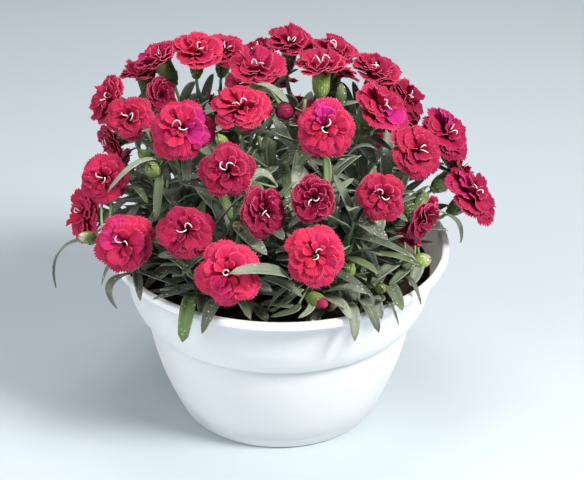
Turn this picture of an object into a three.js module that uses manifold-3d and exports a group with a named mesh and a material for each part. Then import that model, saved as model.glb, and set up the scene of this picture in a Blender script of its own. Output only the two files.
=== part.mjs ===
// A bowl of garden pinks (dianthus): a white moulded bowl, its soil, the seven leafy
// clumps that stand in the soil and the double flowers that they carry.
//
// Units are millimetres and +Z is up. The origin is the centre of the bowl's flat base,
// and -Y is the front. Each flower is a node of its own, and the stems, leaves, calyces
// and green buds of one clump are fused into one node.

import * as THREE from 'three';
import { mergeVertices } from 'three/addons/utils/BufferGeometryUtils.js';
import Module from 'manifold-3d';

const wasm = await Module();
wasm.setup();

// ---------------------------------------------------------------- driving dimensions

// Bowl: radius and height of its walls, from the base up outside and from the rim down inside
const BOWL_SIDES = 36;
const BOWL_OUTSIDE = [
  [74.4, 0], [77, 3], [94.4, 48], [101.4, 84.6], [104.9, 85.8],
  [112.3, 99], [119.9, 128], [122.8, 133.4], [127, 134], [127, 139],
];
const BOWL_INSIDE = [
  [122.1, 139], [114.6, 118], [109.8, 100], [101.4, 87], [98.8, 80], [92.3, 50], [80, 12], [74, 4],
];
const RIM_HEIGHT = 139;
const RIM_RADIUS = 127;
const DRAIN_COUNT = 4;
const DRAIN_CIRCLE = 45;
const DRAIN_RADIUS = 5;
const DRAIN_SIDES = 8;

// Soil: its wall follows the inside of the bowl at a small gap, and its top is crumbly
const SOIL_WALL = [[73.4, 4.4], [97.9, 80], [113.6, 116]];
const SOIL_RINGS = [
  { radius: 88, sides: 20, height: 118 },
  { radius: 56, sides: 14, height: 119.5 },
  { radius: 24, sides: 8, height: 120 },
];
const SOIL_TOP = 120;
const SOIL_CRUMB = 1.6;

// Crowns: the short woody feet of the clumps, one in the middle and six round it
const CROWN_CIRCLE = 76;
const CROWN_SIDES = 8;
const CROWN_FOOT = { radius: 8, height: 99 };
const CROWN_HEAD = { radius: 7, height: 123 };
const CROWN_GAP = 0.4;
const CROWN_HOLE_TOP = 127;
const STEM_SPREAD = 4.6;
const STEM_FOOT_HEIGHT = 120;

// Stems and calyces: radii, and depths behind the heart of the flower
const STEM_SIDES = 3;
const STEM_RADIUS = 1.9;
const STEM_JOINTS = [0.36, 0.7];
const STEM_HANDLES = { lower: 0.42, upper: 0.3, sway: 0.22 };
const STEM_TRIES = 24;
const STEM_CHECKS = 13;
const PATH_STEPS = 7;
const CALYX_SIDES = 5;
const CALYX_LENGTH = 21;
const CALYX_FOOT_RADIUS = 3;
const CALYX_BELLY = { radius: 5.3, depth: 9.5 };
const CALYX_MOUTH = { radius: 3.9, depth: 2.5 };
const CLAW_RADIUS = 3.6;
const CLAW_DEPTH = 2;
const CLAW_TIP_DEPTH = 7;
const CLAW_GAP = 0.6;

// Flowers: three tiers of five toothed petals, as shares of the flower's radius
const PETALS = 5;
const TIERS = [
  { points: 4, radius: 1.0, height: 0.05, valley: 0.42, valleyHeight: 0.1 },
  { points: 4, radius: 0.76, height: 0.26, valley: 0.28, valleyHeight: 0.24 },
  { points: 2, radius: 0.46, height: 0.46, valley: 0, valleyHeight: 0.36 },
];
const SLIT = 0.76;
const NOTCH = 0.93;
const RUFFLE = 0.075;
const RUFFLE_WAVES = 1.5;
const BLUNTNESS = 0.06;
const CUP_DRAW = 0.35;
const PETAL_VARIETY = 0.05;

// Leaves: narrow keeled blades in opposite pairs
const LEAF_KEEL = 1.3;
const LEAF_FOLD = 0.12;
const LEAF_ROOT = { half: 0.8, keel: 0.6 };
const STEM_LEAVES = { out: 0.25, lengths: [34, 58] };
const CROWN_LEAVES = { count: 9, out: 4.2, lengths: [50, 86], depth: 1.8 };
const LEAF_STATIONS = [0.34, 0.74];
const LONG_LEAF_STATIONS = [0.25, 0.52, 0.8];
const LEAF_RANGE = { spread: [28, 78], width: [7, 10.5], droop: [0.02, 0.42], swing: 0.45 };
const LEAF_TRIES = 8;
const LEAF_SPACING = 12;
const STEEPEST_LEAF = 0.96;
const TWIG_RADIUS = 1.2;
const TWIG_SIDES = 3;

// Leaves over the back rim: bearings, then radius and height at the root, rim and tip
const RIM_LEAVES = { count: 9, from: 78, to: 290, swing: 8, width: [8, 10.5] };
const RIM_LEAF_ROOT = [100, 137];
const RIM_LEAF_OVER = [122, 146.5];
const RIM_LEAF_TIP = { radius: 138, height: [117, 131] };

// Buds: still closed, on twigs, with their rings as shares of the length behind the tip
const BUD_RADIUS = 4.2;
const BUD_BELLY = 0.6;
const BUD_SHOULDER = { depth: 0.25, radius: 0.72 };
const BUD_HOLLOW = 0.42;
const BUD_TIP = { depth: 0.06, radius: 0.8, point: -0.08 };

// The dome of foliage: its centre height and its half sizes along X, Y and Z
const DOME_HEIGHT = 132;
const DOME = { x: 150, y: 138, z: 142 };

// Free space kept between a leaf and what it isn't fused to
const FLOWER_CLEARANCE = { across: 2, along: 9.5, centre: 4 };
const CALYX_CLEARANCE = 7;
const STEM_CLEARANCE = 3.6;
const CELL_MARGIN = 1.2;
const SOIL_CLEARANCE = 2;
const WALL_CLEARANCE = 2.5;
const SEED = 2024;

/**
 * A flower's seat: x, y and z of its heart, the bearing that it faces (0 is the front and
 * 90 the right), its tilt above the horizontal, its span across and how far it is cupped.
 */
const seat = (x, y, z, turn, tilt, span, cup = 0) => ({
  heart: new THREE.Vector3(x, y, z), turn, tilt, span, cup,
});

const FLOWERS = [
  // the low front and the left shoulder
  seat(-108, -84, 179, -15, 35, 44),
  seat(-64, -101, 198, 0, 50, 42, -0.08),
  seat(-34, -126, 179, 0, 30, 47),
  seat(24, -123, 192, 0, 35, 42),
  seat(-11, -102, 213, 40, 20, 38, 0.06),
  seat(22, -98, 221, 0, 30, 34, 0.2),
  seat(-36, -83, 235, -5, 35, 39),
  seat(69, -84, 217, 5, 30, 36),
  seat(30, -60, 257, 0, 35, 42),
  seat(-28, -43, 264, -5, 66, 44),
  seat(-69, -46, 249, -5, 45, 47, -0.04),
  seat(-126, -31, 203, -15, 35, 38),
  seat(-147, -4, 159, -68, 20, 44),
  seat(-126, 28, 204, -55, -15, 34, 0.15),
  seat(-112, 2, 236, -5, 55, 37),
  seat(-128, 34, 236, -62, 32, 41),
  seat(-88, 24, 245, 35, 55, 25, 0.2),
  // the top
  seat(-17, 9, 274, 15, 82, 44),
  seat(29, 18, 271, -5, 88, 42),
  seat(-25, 28, 252, -20, 60, 36),
  seat(26, 48, 220, 10, 72, 34),
  seat(-42, 61, 265, 20, 66, 35),
  seat(-18, 75, 259, -45, 65, 32, 0.1),
  seat(5, 70, 270, 25, 86, 41),
  seat(39, 54, 270, 55, 80, 36, 0.08),
  seat(-61, 36, 275, -10, 70, 39),
  seat(-93, 39, 270, -75, 65, 35),
  seat(-104, 54, 252, -75, 80, 36),
  seat(70, 35, 261, 55, 76, 38),
  // the right shoulder
  seat(71, -20, 255, 58, 52, 42),
  seat(94, 34, 239, 68, 35, 38),
  seat(95, -42, 232, 45, 35, 41),
  seat(124, 23, 216, 68, 40, 45),
  seat(142, -11, 183, 75, 40, 49),
  seat(101, -64, 189, 50, -10, 35, 0.12),
  seat(94, -53, 176, -30, -45, 26, 0.2),
  // the back
  seat(81, 58, 236, 130, 60, 40),
  seat(41, 80, 241, 155, 65, 42),
  seat(-8, 110, 222, -175, 55, 40),
  seat(-52, 108, 200, -165, 50, 40, 0.06),
  seat(136, 41, 176, 110, 30, 42),
  seat(105, 81, 190, 130, 40, 40),
  seat(68, 117, 171, 150, 30, 44),
  seat(12, 126, 190, 175, 40, 42, 0.1),
  seat(-45, 127, 166, -160, 30, 42),
  seat(-89, 98, 185, -140, 35, 44),
  seat(-128, 60, 171, -115, 30, 40),
];

/** A closed bud: x, y and z of its foot, the way it points, its length and whether petals show. */
const bud = (x, y, z, turn, tilt, length, red = false) => ({
  foot: new THREE.Vector3(x, y, z), turn, tilt, length, red,
});

const BUDS = [
  bud(-88, -44, 214, -10, 40, 20),
  bud(-93, -24, 214, -50, 45, 15),
  bud(-131, -56, 166, -60, 25, 16),
  bud(-38, -57, 241, -35, 50, 15),
  bud(43, -17, 256, 30, 60, 15),
  bud(3, -41, 260, 0, 25, 16, true),
  bud(96, -49, 146, 90, 30, 20),
  bud(70, -83, 143, 5, 30, 19),
  bud(47, -89, 156, 20, 60, 18),
  bud(20, -88, 140, 25, 15, 24, true),
];

/**
 * A long leaf that hangs clear of the others: its root, a point that it passes, its tip
 * and its width. A twig from the nearest stem carries its root.
 */
const longLeaf = (root, over, tip, width) => ({
  root: new THREE.Vector3(...root),
  over: new THREE.Vector3(...over),
  tip: new THREE.Vector3(...tip),
  width,
});

const LONG_LEAVES = [
  // over the front rim, from the left to the right
  longLeaf([-98, -66, 140], [-106, -82, 147], [-112, -88, 123], 10),
  longLeaf([-90, -62, 136], [-100, -84, 144], [-101, -88, 126], 9),
  longLeaf([-61, -86, 138], [-63, -115, 144], [-67, -118, 119], 10.5),
  longLeaf([-42, -90, 136], [-48, -120, 144], [-53, -124, 130], 10),
  longLeaf([-49, -72, 134], [-66, -84, 143], [-84, -88, 144], 11),
  longLeaf([27, -82, 138], [37, -103, 146], [46, -122, 150], 11),
  longLeaf([44, -92, 135], [51, -118, 142.5], [52, -126, 125], 9),
  longLeaf([56, -90, 138], [62, -112, 145], [69, -119, 129], 8.5),
  longLeaf([63, -76, 136], [70, -100, 145], [70, -114, 152], 8),
  longLeaf([75, -74, 135], [83, -99, 144], [86, -106, 127], 7),
  longLeaf([86, -60, 138], [97, -84, 146], [103, -88, 132], 5),
  // inside the rim and between the low flowers
  longLeaf([18, -78, 140], [4, -82, 147], [-12, -80, 154], 10),
  longLeaf([20, -88, 132], [8, -99, 137], [-7, -105, 143], 8),
  longLeaf([86, -50, 147], [75, -65, 152], [60, -80, 154], 9.5),
  longLeaf([7, -116, 170], [-12, -136, 188], [-33, -146, 190], 9),
  // long narrow leaves that arch out of the sides
  longLeaf([-80, -52, 226], [-101, -62, 233], [-119, -74, 214], 6),
  longLeaf([-134, -40, 157], [-160, -34, 146], [-165, -38, 116], 7),
  longLeaf([119, -44, 183], [127, -50, 179], [129, -56, 166], 4.5),
  // the broad leaf among the top flowers
  longLeaf([6, -34, 260], [-6, -26, 271], [-18, -20, 272], 7.5),
];

// ------------------------------------------------------------------------- materials

const material = (color, roughness) => new THREE.MeshStandardMaterial({ color, roughness, metalness: 0 });
const bowlPlastic = material(0xf4f4f5, 0.35);
const darkSoil = material(0x2a1f1a, 0.95);
const leafGreen = material(0x55705a, 0.6);
const petalRed = material(0xd4143c, 0.55);

// ------------------------------------------------------------------- numbers and lines

const UP = new THREE.Vector3(0, 0, 1);
const radians = THREE.MathUtils.degToRad;
const mix = THREE.MathUtils.lerp;

/** A repeatable source of numbers from 0 to 1. */
function seeded(seed) {
  let state = seed | 0;
  return () => {
    state = (state + 0x6d2b79f5) | 0;
    let t = Math.imul(state ^ (state >>> 15), 1 | state);
    t = (t + Math.imul(t ^ (t >>> 7), 61 | t)) ^ t;
    return ((t ^ (t >>> 14)) >>> 0) / 4294967296;
  };
}

/** The unit vector at a bearing from the front and a tilt above the horizontal. */
function heading(turn, tilt) {
  const flat = Math.cos(radians(tilt));
  const bearing = radians(turn);
  return new THREE.Vector3(flat * Math.sin(bearing), -flat * Math.cos(bearing), Math.sin(radians(tilt)));
}

/** Two unit vectors square to an axis and to each other, turning the right way round it. */
function across(axis) {
  const u = new THREE.Vector3().crossVectors(axis, UP);
  if (u.lengthSq() < 1e-6) u.set(1, 0, 0);
  u.normalize();
  return { u, v: new THREE.Vector3().crossVectors(axis, u) };
}

/** start + direction * amount, as a new vector. */
const along = (start, direction, amount) => start.clone().addScaledVector(direction, amount);

/** A round of points, from the side u towards the side v. */
function ring(centre, u, v, radius, sides) {
  return Array.from({ length: sides }, (_, k) => {
    const angle = (2 * Math.PI * k) / sides;
    return along(along(centre, u, radius * Math.cos(angle)), v, radius * Math.sin(angle));
  });
}

/** The point, and the direction of travel, on a curve drawn by four handles. */
function bend([a, b, c, d], t) {
  const s = 1 - t;
  const point = new THREE.Vector3()
    .addScaledVector(a, s * s * s)
    .addScaledVector(b, 3 * s * s * t)
    .addScaledVector(c, 3 * s * t * t)
    .addScaledVector(d, t * t * t);
  const direction = new THREE.Vector3()
    .addScaledVector(b.clone().sub(a), s * s)
    .addScaledVector(c.clone().sub(b), 2 * s * t)
    .addScaledVector(d.clone().sub(c), t * t)
    .normalize();
  return { point, direction };
}

// ---------------------------------------------------------------------------- solids

/**
 * The closed skin over a row of rings that turn the same way round. A ring of one point is
 * a pole, and an end ring of more is capped. Neighbouring rings may differ in number.
 */
function skin(rings) {
  const points = rings.flat();
  const faces = [];
  let start = 0;
  for (let k = 0; k + 1 < rings.length; k += 1) {
    const next = start + rings[k].length;
    faces.push(...band(start, rings[k].length, next, rings[k + 1].length));
    start = next;
  }
  const first = rings[0].length;
  for (let k = 1; k + 1 < first; k += 1) faces.push(0, k + 1, k);
  const last = rings[rings.length - 1].length;
  for (let k = 1; k + 1 < last; k += 1) faces.push(start, start + k, start + k + 1);
  const geometry = new THREE.BufferGeometry().setFromPoints(points);
  geometry.setIndex(faces);
  return geometry;
}

/** The triangles between two rings, stepping along whichever is behind. */
function band(lower, lowerCount, upper, upperCount) {
  const faces = [];
  const lowerSteps = lowerCount === 1 ? 0 : lowerCount;
  const upperSteps = upperCount === 1 ? 0 : upperCount;
  let i = 0;
  let j = 0;
  while (i < lowerSteps || j < upperSteps) {
    const stepLower = j === upperSteps || (i < lowerSteps && (i + 1) / lowerSteps <= (j + 1) / upperSteps);
    const a = lower + (i % lowerCount);
    const b = upper + (j % upperCount);
    if (stepLower) {
      i += 1;
      faces.push(a, lower + (i % lowerCount), b);
    } else {
      j += 1;
      faces.push(a, upper + (j % upperCount), b);
    }
  }
  return faces;
}

/** A closed geometry as a solid that can be joined and cut. */
function solidOf(geometry) {
  const bare = geometry.clone();
  bare.deleteAttribute('normal');
  bare.deleteAttribute('uv');
  const merged = mergeVertices(bare, 1e-4);
  return new wasm.Manifold(new wasm.Mesh({
    numProp: 3,
    vertProperties: new Float32Array(merged.attributes.position.array),
    triVerts: new Uint32Array(merged.index.array),
  }));
}

/** A solid as a geometry with smooth normals. */
function geometryOf(solid) {
  const mesh = solid.getMesh();
  const geometry = new THREE.BufferGeometry();
  geometry.setAttribute('position', new THREE.BufferAttribute(new Float32Array(mesh.vertProperties), 3));
  geometry.setIndex(Array.from(mesh.triVerts));
  geometry.computeVertexNormals();
  return geometry;
}

/** Whether two solids share any space. */
function cross(one, other) {
  const a = one.boundingBox();
  const b = other.boundingBox();
  const apart = [0, 1, 2].some((k) => a.max[k] < b.min[k] || b.max[k] < a.min[k]);
  return !apart && one.intersect(other).volume() > 1e-4;
}

/** A turned solid from a profile of [radius, height] pairs that starts and ends on the axis. */
function turned(profile, sides) {
  const corners = profile.map(([radius, height]) => new THREE.Vector2(radius, height));
  const geometry = new THREE.LatheGeometry(corners, sides);
  geometry.rotateX(Math.PI / 2);
  return geometry;
}

// ------------------------------------------------------------------------------ bowl

/** The bowl: one turned wall with a step, a lip and a floor with drain holes. */
function bowl() {
  const profile = [[0, 0], ...BOWL_OUTSIDE, ...BOWL_INSIDE, [0, BOWL_INSIDE.at(-1)[1]]];
  let body = solidOf(turned(profile, BOWL_SIDES));
  for (let k = 0; k < DRAIN_COUNT; k += 1) {
    const angle = (2 * Math.PI * (k + 0.5)) / DRAIN_COUNT;
    const drain = new THREE.CylinderGeometry(DRAIN_RADIUS, DRAIN_RADIUS, 20, DRAIN_SIDES);
    drain.rotateX(Math.PI / 2);
    drain.translate(DRAIN_CIRCLE * Math.cos(angle), DRAIN_CIRCLE * Math.sin(angle), 0);
    body = body.subtract(solidOf(drain));
  }
  return body;
}

/** The inside radius of the bowl at a height. */
function bowlInside(height) {
  for (let k = 0; k + 1 < BOWL_INSIDE.length; k += 1) {
    const [upperRadius, upper] = BOWL_INSIDE[k];
    const [lowerRadius, lower] = BOWL_INSIDE[k + 1];
    if (height >= lower) return mix(lowerRadius, upperRadius, (height - lower) / (upper - lower));
  }
  return 0;
}

// ---------------------------------------------------------------------------- crowns

/** Where the clumps stand: the middle one first, then the ring from the front to the right. */
const CROWNS = [new THREE.Vector3(0, 0, 0)];
for (let k = 0; k < 6; k += 1) CROWNS.push(heading(60 * k + 30, 0).multiplyScalar(CROWN_CIRCLE));

/** The clump whose crown is nearest in plan. */
function clumpAt(point) {
  const distances = CROWNS.map((crown) => Math.hypot(point.x - crown.x, point.y - crown.y));
  return distances.indexOf(Math.min(...distances));
}

/** How far a point lies inside the ground of its clump, in plan. */
function groundMargin(point, clump) {
  const home = CROWNS[clump];
  let margin = Infinity;
  CROWNS.forEach((crown, k) => {
    if (k === clump) return;
    const own = (point.x - home.x) ** 2 + (point.y - home.y) ** 2;
    const other = (point.x - crown.x) ** 2 + (point.y - crown.y) ** 2;
    margin = Math.min(margin, (other - own) / (2 * Math.hypot(crown.x - home.x, crown.y - home.y)));
  });
  return margin;
}

/** The woody foot of a clump, or the plain hole that it stands in. */
function crownShape(clump, gap) {
  const foot = along(CROWNS[clump], UP, CROWN_FOOT.height - gap);
  const head = along(CROWNS[clump], UP, gap > 0 ? CROWN_HOLE_TOP : CROWN_HEAD.height);
  const x = new THREE.Vector3(1, 0, 0);
  const y = new THREE.Vector3(0, 1, 0);
  const headRadius = gap > 0 ? CROWN_FOOT.radius + gap : CROWN_HEAD.radius;
  return skin([
    ring(foot, x, y, CROWN_FOOT.radius + gap, CROWN_SIDES),
    ring(head, x, y, headRadius, CROWN_SIDES),
  ]);
}

/** The feet of a clump's stems: spread evenly round the crown's head, in the order they lean. */
function stemFeet(clump, ends) {
  const centre = along(CROWNS[clump], UP, STEM_FOOT_HEIGHT);
  const bearings = ends.map((end) => Math.atan2(end.y - centre.y, end.x - centre.x));
  const order = bearings.map((_, k) => k).sort((a, b) => bearings[a] - bearings[b]);
  const pitch = (2 * Math.PI) / ends.length;
  let sine = 0;
  let cosine = 0;
  order.forEach((k, rank) => {
    sine += Math.sin(bearings[k] - pitch * rank);
    cosine += Math.cos(bearings[k] - pitch * rank);
  });
  const start = Math.atan2(sine, cosine);
  const feet = [];
  order.forEach((k, rank) => {
    const angle = start + pitch * rank;
    feet[k] = along(centre, new THREE.Vector3(Math.cos(angle), Math.sin(angle), 0), STEM_SPREAD);
  });
  return feet;
}

// ------------------------------------------------------------------------------ soil

/** The soil: it fills the bowl at a small gap, with a crumbly top and a hole for each crown. */
function soil() {
  const random = seeded(SEED);
  const x = new THREE.Vector3(1, 0, 0);
  const y = new THREE.Vector3(0, 1, 0);
  const level = (height) => new THREE.Vector3(0, 0, height);
  const rings = [[level(SOIL_WALL[0][1])]];
  for (const [radius, height] of SOIL_WALL) rings.push(ring(level(height), x, y, radius, BOWL_SIDES));
  for (const { radius, sides, height } of SOIL_RINGS) {
    const round = ring(level(height), x, y, radius, sides);
    for (const point of round) point.z += SOIL_CRUMB * (2 * random() - 1);
    rings.push(round);
  }
  rings.push([level(SOIL_TOP)]);
  let body = solidOf(skin(rings));
  for (let clump = 0; clump < CROWNS.length; clump += 1) {
    body = body.subtract(solidOf(crownShape(clump, CROWN_GAP)));
  }
  return body;
}

// --------------------------------------------------------------------------- flowers

/** A tier's toothed and ruffled edge: slits between its petals, and teeth with notches along them. */
function tierEdge(tier, order, radius, cup, random) {
  const count = PETALS * tier.points;
  const petals = Array.from({ length: PETALS }, () => ({
    size: 1 + PETAL_VARIETY * (2 * random() - 1),
    wave: 2 * Math.PI * random(),
  }));
  const shift = order % 2 === 0 ? 0 : tier.points / 2;
  return Array.from({ length: count }, (_, k) => {
    const place = (k + shift) % count;
    const petal = petals[Math.floor(place / tier.points)];
    const step = place % tier.points;
    const share = step / tier.points;
    const roundness = 1 - BLUNTNESS * (1 - Math.sin(Math.PI * share));
    const reach = step === 0 ? SLIT : roundness * (step % 2 === 1 ? 1 : NOTCH);
    const drawn = 1 - CUP_DRAW * Math.abs(cup) * (1 - order / TIERS.length);
    const r = radius * tier.radius * drawn * petal.size * reach;
    const wave = 2 * Math.PI * share * RUFFLE_WAVES + petal.wave;
    const ruffle = RUFFLE * (step === 0 ? -0.4 : Math.sin(wave));
    const angle = (2 * Math.PI * k) / count;
    return new THREE.Vector3(r * Math.cos(angle), r * Math.sin(angle), radius * (tier.height + cup + ruffle));
  });
}

/** A double flower that faces +Z with its heart at the origin. */
function flowerGeometry(span, cup, random) {
  const radius = span / 2;
  const x = new THREE.Vector3(1, 0, 0);
  const y = new THREE.Vector3(0, 1, 0);
  const level = (height) => new THREE.Vector3(0, 0, height);
  const rings = [
    [level(-CLAW_TIP_DEPTH)],
    ring(level(-CLAW_DEPTH), x, y, CLAW_RADIUS, CALYX_SIDES),
  ];
  TIERS.forEach((tier, order) => {
    rings.push(tierEdge(tier, order, radius, cup, random));
    const hollow = level(radius * (tier.valleyHeight + 0.5 * Math.max(cup, 0)));
    rings.push(tier.valley > 0 ? ring(hollow, x, y, radius * tier.valley, PETALS) : [hollow]);
  });
  return skin(rings);
}

/** The turn that brings +Z to a flower's facing, with its +X on the side u. */
function facingTurn(axis) {
  const { u, v } = across(axis);
  return new THREE.Quaternion().setFromRotationMatrix(new THREE.Matrix4().makeBasis(u, v, axis));
}

/** What a stem ends in: an axis, the heart at its end and the foot of the calyx behind it. */
function stalkEnd(heart, turn, tilt, length) {
  const axis = heading(turn, tilt);
  return { heart, axis, foot: along(heart, axis, -length) };
}

const STALKS = FLOWERS.map(({ heart, turn, tilt, span }) => ({
  ...stalkEnd(heart, turn, tilt, CALYX_LENGTH), span,
}));

// -------------------------------------------------------------- what a leaf stays off

/** Whether a point is in the space kept for a flower, other than one that is left out. */
function nearFlower(point, except) {
  return STALKS.some(({ heart, axis, span }, k) => {
    if (k === except) return false;
    const offset = point.clone().sub(along(heart, axis, FLOWER_CLEARANCE.centre));
    const rise = offset.dot(axis);
    const radial = Math.sqrt(Math.max(offset.lengthSq() - rise * rise, 0));
    return Math.hypot(radial / (span / 2 + FLOWER_CLEARANCE.across), rise / FLOWER_CLEARANCE.along) < 1;
  });
}

/** Whether a point is against the calyx of a flower, other than one that is left out. */
function nearCalyx(point, except) {
  return STALKS.some(({ heart, axis }, k) => {
    if (k === except) return false;
    const offset = point.clone().sub(heart);
    const depth = THREE.MathUtils.clamp(-offset.dot(axis), 0, CALYX_LENGTH);
    return offset.addScaledVector(axis, depth).length() < CALYX_CLEARANCE;
  });
}

/** Whether a point is in the soil, in the bowl's wall or too close above its rim. */
function inPot(point) {
  const radius = Math.hypot(point.x, point.y);
  const inSoil = radius < RIM_RADIUS && point.z < SOIL_TOP + SOIL_CLEARANCE;
  const pastInside = radius > bowlInside(Math.min(point.z, RIM_HEIGHT)) - WALL_CLEARANCE;
  const inWall = pastInside && radius < RIM_RADIUS + WALL_CLEARANCE && point.z < RIM_HEIGHT + WALL_CLEARANCE;
  return inSoil || inWall;
}

/** How far out a point is in the dome of foliage: 0 at its centre and 1 on its surface. */
function domeReach(point) {
  const rise = Math.max(point.z - DOME_HEIGHT, 0);
  return Math.hypot(point.x / DOME.x, point.y / DOME.y, rise / DOME.z);
}

/** Whether a point is against a stem of a clump, other than one that is left out. */
function nearStem(point, clump, except) {
  return stems.some((stem) => stem.clump === clump && stem.flower !== except
    && stem.path.some((place) => place.point.distanceTo(point) < STEM_CLEARANCE));
}

/** Whether a leaf may pass a point. */
function isFree(point, clump, except) {
  const inPlace = domeReach(point) < 1 && groundMargin(point, clump) > CELL_MARGIN && !inPot(point);
  return inPlace && !nearFlower(point, except) && !nearCalyx(point, except) && !nearStem(point, clump, except);
}

// ----------------------------------------------------------------------------- stems

/** The handles of a stem's curve from where it starts, and which way, to where it ends. */
function stemCurve(start, rise, end, axis, random, attempt) {
  const gap = start.distanceTo(end);
  const sway = attempt === 0 ? 0 : STEM_HANDLES.sway * gap;
  const lower = along(start, rise, STEM_HANDLES.lower * gap);
  lower.x += sway * (2 * random() - 1);
  lower.y += sway * (2 * random() - 1);
  const upper = along(end, axis, -STEM_HANDLES.upper * gap);
  upper.x += 0.5 * sway * (2 * random() - 1);
  upper.y += 0.5 * sway * (2 * random() - 1);
  return [start, lower, upper, end];
}

/** The first of a few sways of a stem that passes every other flower, or else the clearest. */
function clearStem(start, rise, end, axis, seed, own) {
  const random = seeded(seed);
  const clump = clumpAt(start);
  let best = null;
  for (let attempt = 0; attempt < STEM_TRIES; attempt += 1) {
    const curve = stemCurve(start, rise, end, axis, random, attempt);
    let blocked = 0;
    for (let step = 2; step < STEM_CHECKS; step += 1) {
      const { point } = bend(curve, step / STEM_CHECKS);
      const offGround = groundMargin(point, clump) < CELL_MARGIN;
      if (offGround || nearFlower(point, own) || nearCalyx(point, own)) blocked += 1;
    }
    if (best === null || blocked < best.blocked) best = { curve, blocked };
    if (blocked === 0) break;
  }
  return best.curve;
}

/** Places along a stem, which runs straight from joint to joint. */
function stemPath(curve) {
  const joints = [0, ...STEM_JOINTS, 1].map((t) => bend(curve, t).point);
  return joints.slice(1).flatMap((next, k) => {
    const direction = next.clone().sub(joints[k]).normalize();
    return Array.from({ length: PATH_STEPS }, (_, step) => ({
      point: joints[k].clone().lerp(next, (step + 1) / PATH_STEPS),
      direction,
    }));
  });
}

/** The place on a clump's stems that is nearest to a point, and the stem's way there. */
function nearestStem(clump, point) {
  let best = { point: along(CROWNS[clump], UP, STEM_FOOT_HEIGHT), direction: UP };
  for (const { path } of stems.filter((stem) => stem.clump === clump)) {
    for (const place of path) {
      if (place.point.distanceTo(point) < best.point.distanceTo(point)) best = place;
    }
  }
  return best;
}

/** The curve of a twig that leaves the nearest stem and ends at a point, travelling along an axis. */
function twigCurve(end, axis, seed) {
  const { point, direction } = nearestStem(clumpAt(end), end);
  const rise = end.clone().sub(point).normalize().add(direction).normalize();
  return clearStem(point, rise, end, axis, seed, -1);
}

/** Rings of a tube along a curve, with the side u carried along from the far end. */
function tubeRings(curve, places, radius, sides, farSide) {
  let u = farSide.clone();
  const rings = [];
  for (const t of [...places].reverse()) {
    const { point, direction } = bend(curve, t);
    u.addScaledVector(direction, -u.dot(direction)).normalize();
    rings.unshift(ring(point, u, new THREE.Vector3().crossVectors(direction, u), radius, sides));
    u = u.clone();
  }
  return rings;
}

/** A flower's stem with the calyx that holds it, open at the mouth. */
function flowerStem({ heart, axis, foot }, curve) {
  const { u, v } = across(axis);
  const at = (depth) => along(heart, axis, -depth);
  return skin([
    ...tubeRings(curve, [0, ...STEM_JOINTS], STEM_RADIUS, STEM_SIDES, u),
    ring(foot, u, v, CALYX_FOOT_RADIUS, CALYX_SIDES),
    ring(at(CALYX_BELLY.depth), u, v, CALYX_BELLY.radius, CALYX_SIDES),
    ring(at(CALYX_MOUTH.depth), u, v, CALYX_MOUTH.radius, CALYX_SIDES),
    [at(CLAW_TIP_DEPTH + CLAW_GAP)],
  ]);
}

/** A closed bud on its twig, pointed, or hollowed for the petals that it shows. */
function budStem({ heart, axis, foot, length, red }, curve) {
  const { u, v } = across(axis);
  const at = (depth) => along(heart, axis, -depth);
  const mouth = red ? [at(BUD_HOLLOW * length)] : [at(0)];
  return skin([
    ...tubeRings(curve, [0, 0.5], TWIG_RADIUS, TWIG_SIDES, u),
    ring(foot, u, v, 0.5 * BUD_RADIUS, CALYX_SIDES),
    ring(at(BUD_BELLY * length), u, v, BUD_RADIUS, CALYX_SIDES),
    ring(at(BUD_SHOULDER.depth * length), u, v, BUD_SHOULDER.radius * BUD_RADIUS, CALYX_SIDES),
    mouth,
  ]);
}

/** The furled petals that show in a bud's mouth. */
function budTip({ heart, axis, length }) {
  const { u, v } = across(axis);
  const at = (depth) => along(heart, axis, -depth);
  return skin([
    [at(BUD_HOLLOW * length - CLAW_GAP)],
    ring(at(BUD_SHOULDER.depth * length - CLAW_GAP), u, v, BUD_SHOULDER.radius * BUD_RADIUS - 0.2, CALYX_SIDES),
    ring(at(BUD_TIP.depth * length), u, v, BUD_TIP.radius * BUD_RADIUS, CALYX_SIDES),
    [at(BUD_TIP.point * length)],
  ]);
}

// ---------------------------------------------------------------------------- leaves

/** The width of a leaf along its length, as a share of its widest. */
const leafWidth = (s) => Math.sin(Math.PI * (0.12 + 0.88 * s)) ** 0.75;

/** The middle line of a leaf that leaves its root one way and droops under its own weight. */
function leafLine({ root, aim, length, droop }) {
  return (s) => {
    const point = along(along(root, aim, length * s), UP, -droop * length * s * s);
    const direction = along(aim.clone().multiplyScalar(length), UP, -2 * droop * length * s).normalize();
    return { point, direction };
  };
}

/** The middle line of a leaf through three points. */
function longLeafLine({ root, over, tip }) {
  const first = root.distanceTo(over);
  const middle = first / (first + over.distanceTo(tip));
  return (s) => {
    const a = ((s - middle) * (s - 1)) / middle;
    const b = (s * (s - 1)) / (middle * (middle - 1));
    const c = (s * (s - middle)) / (1 - middle);
    const point = new THREE.Vector3().addScaledVector(root, a).addScaledVector(over, b).addScaledVector(tip, c);
    const direction = new THREE.Vector3()
      .addScaledVector(root, (2 * s - 1 - middle) / middle)
      .addScaledVector(over, (2 * s - 1) / (middle * (middle - 1)))
      .addScaledVector(tip, (2 * s - middle) / (1 - middle))
      .normalize();
    return { point, direction };
  };
}

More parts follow.
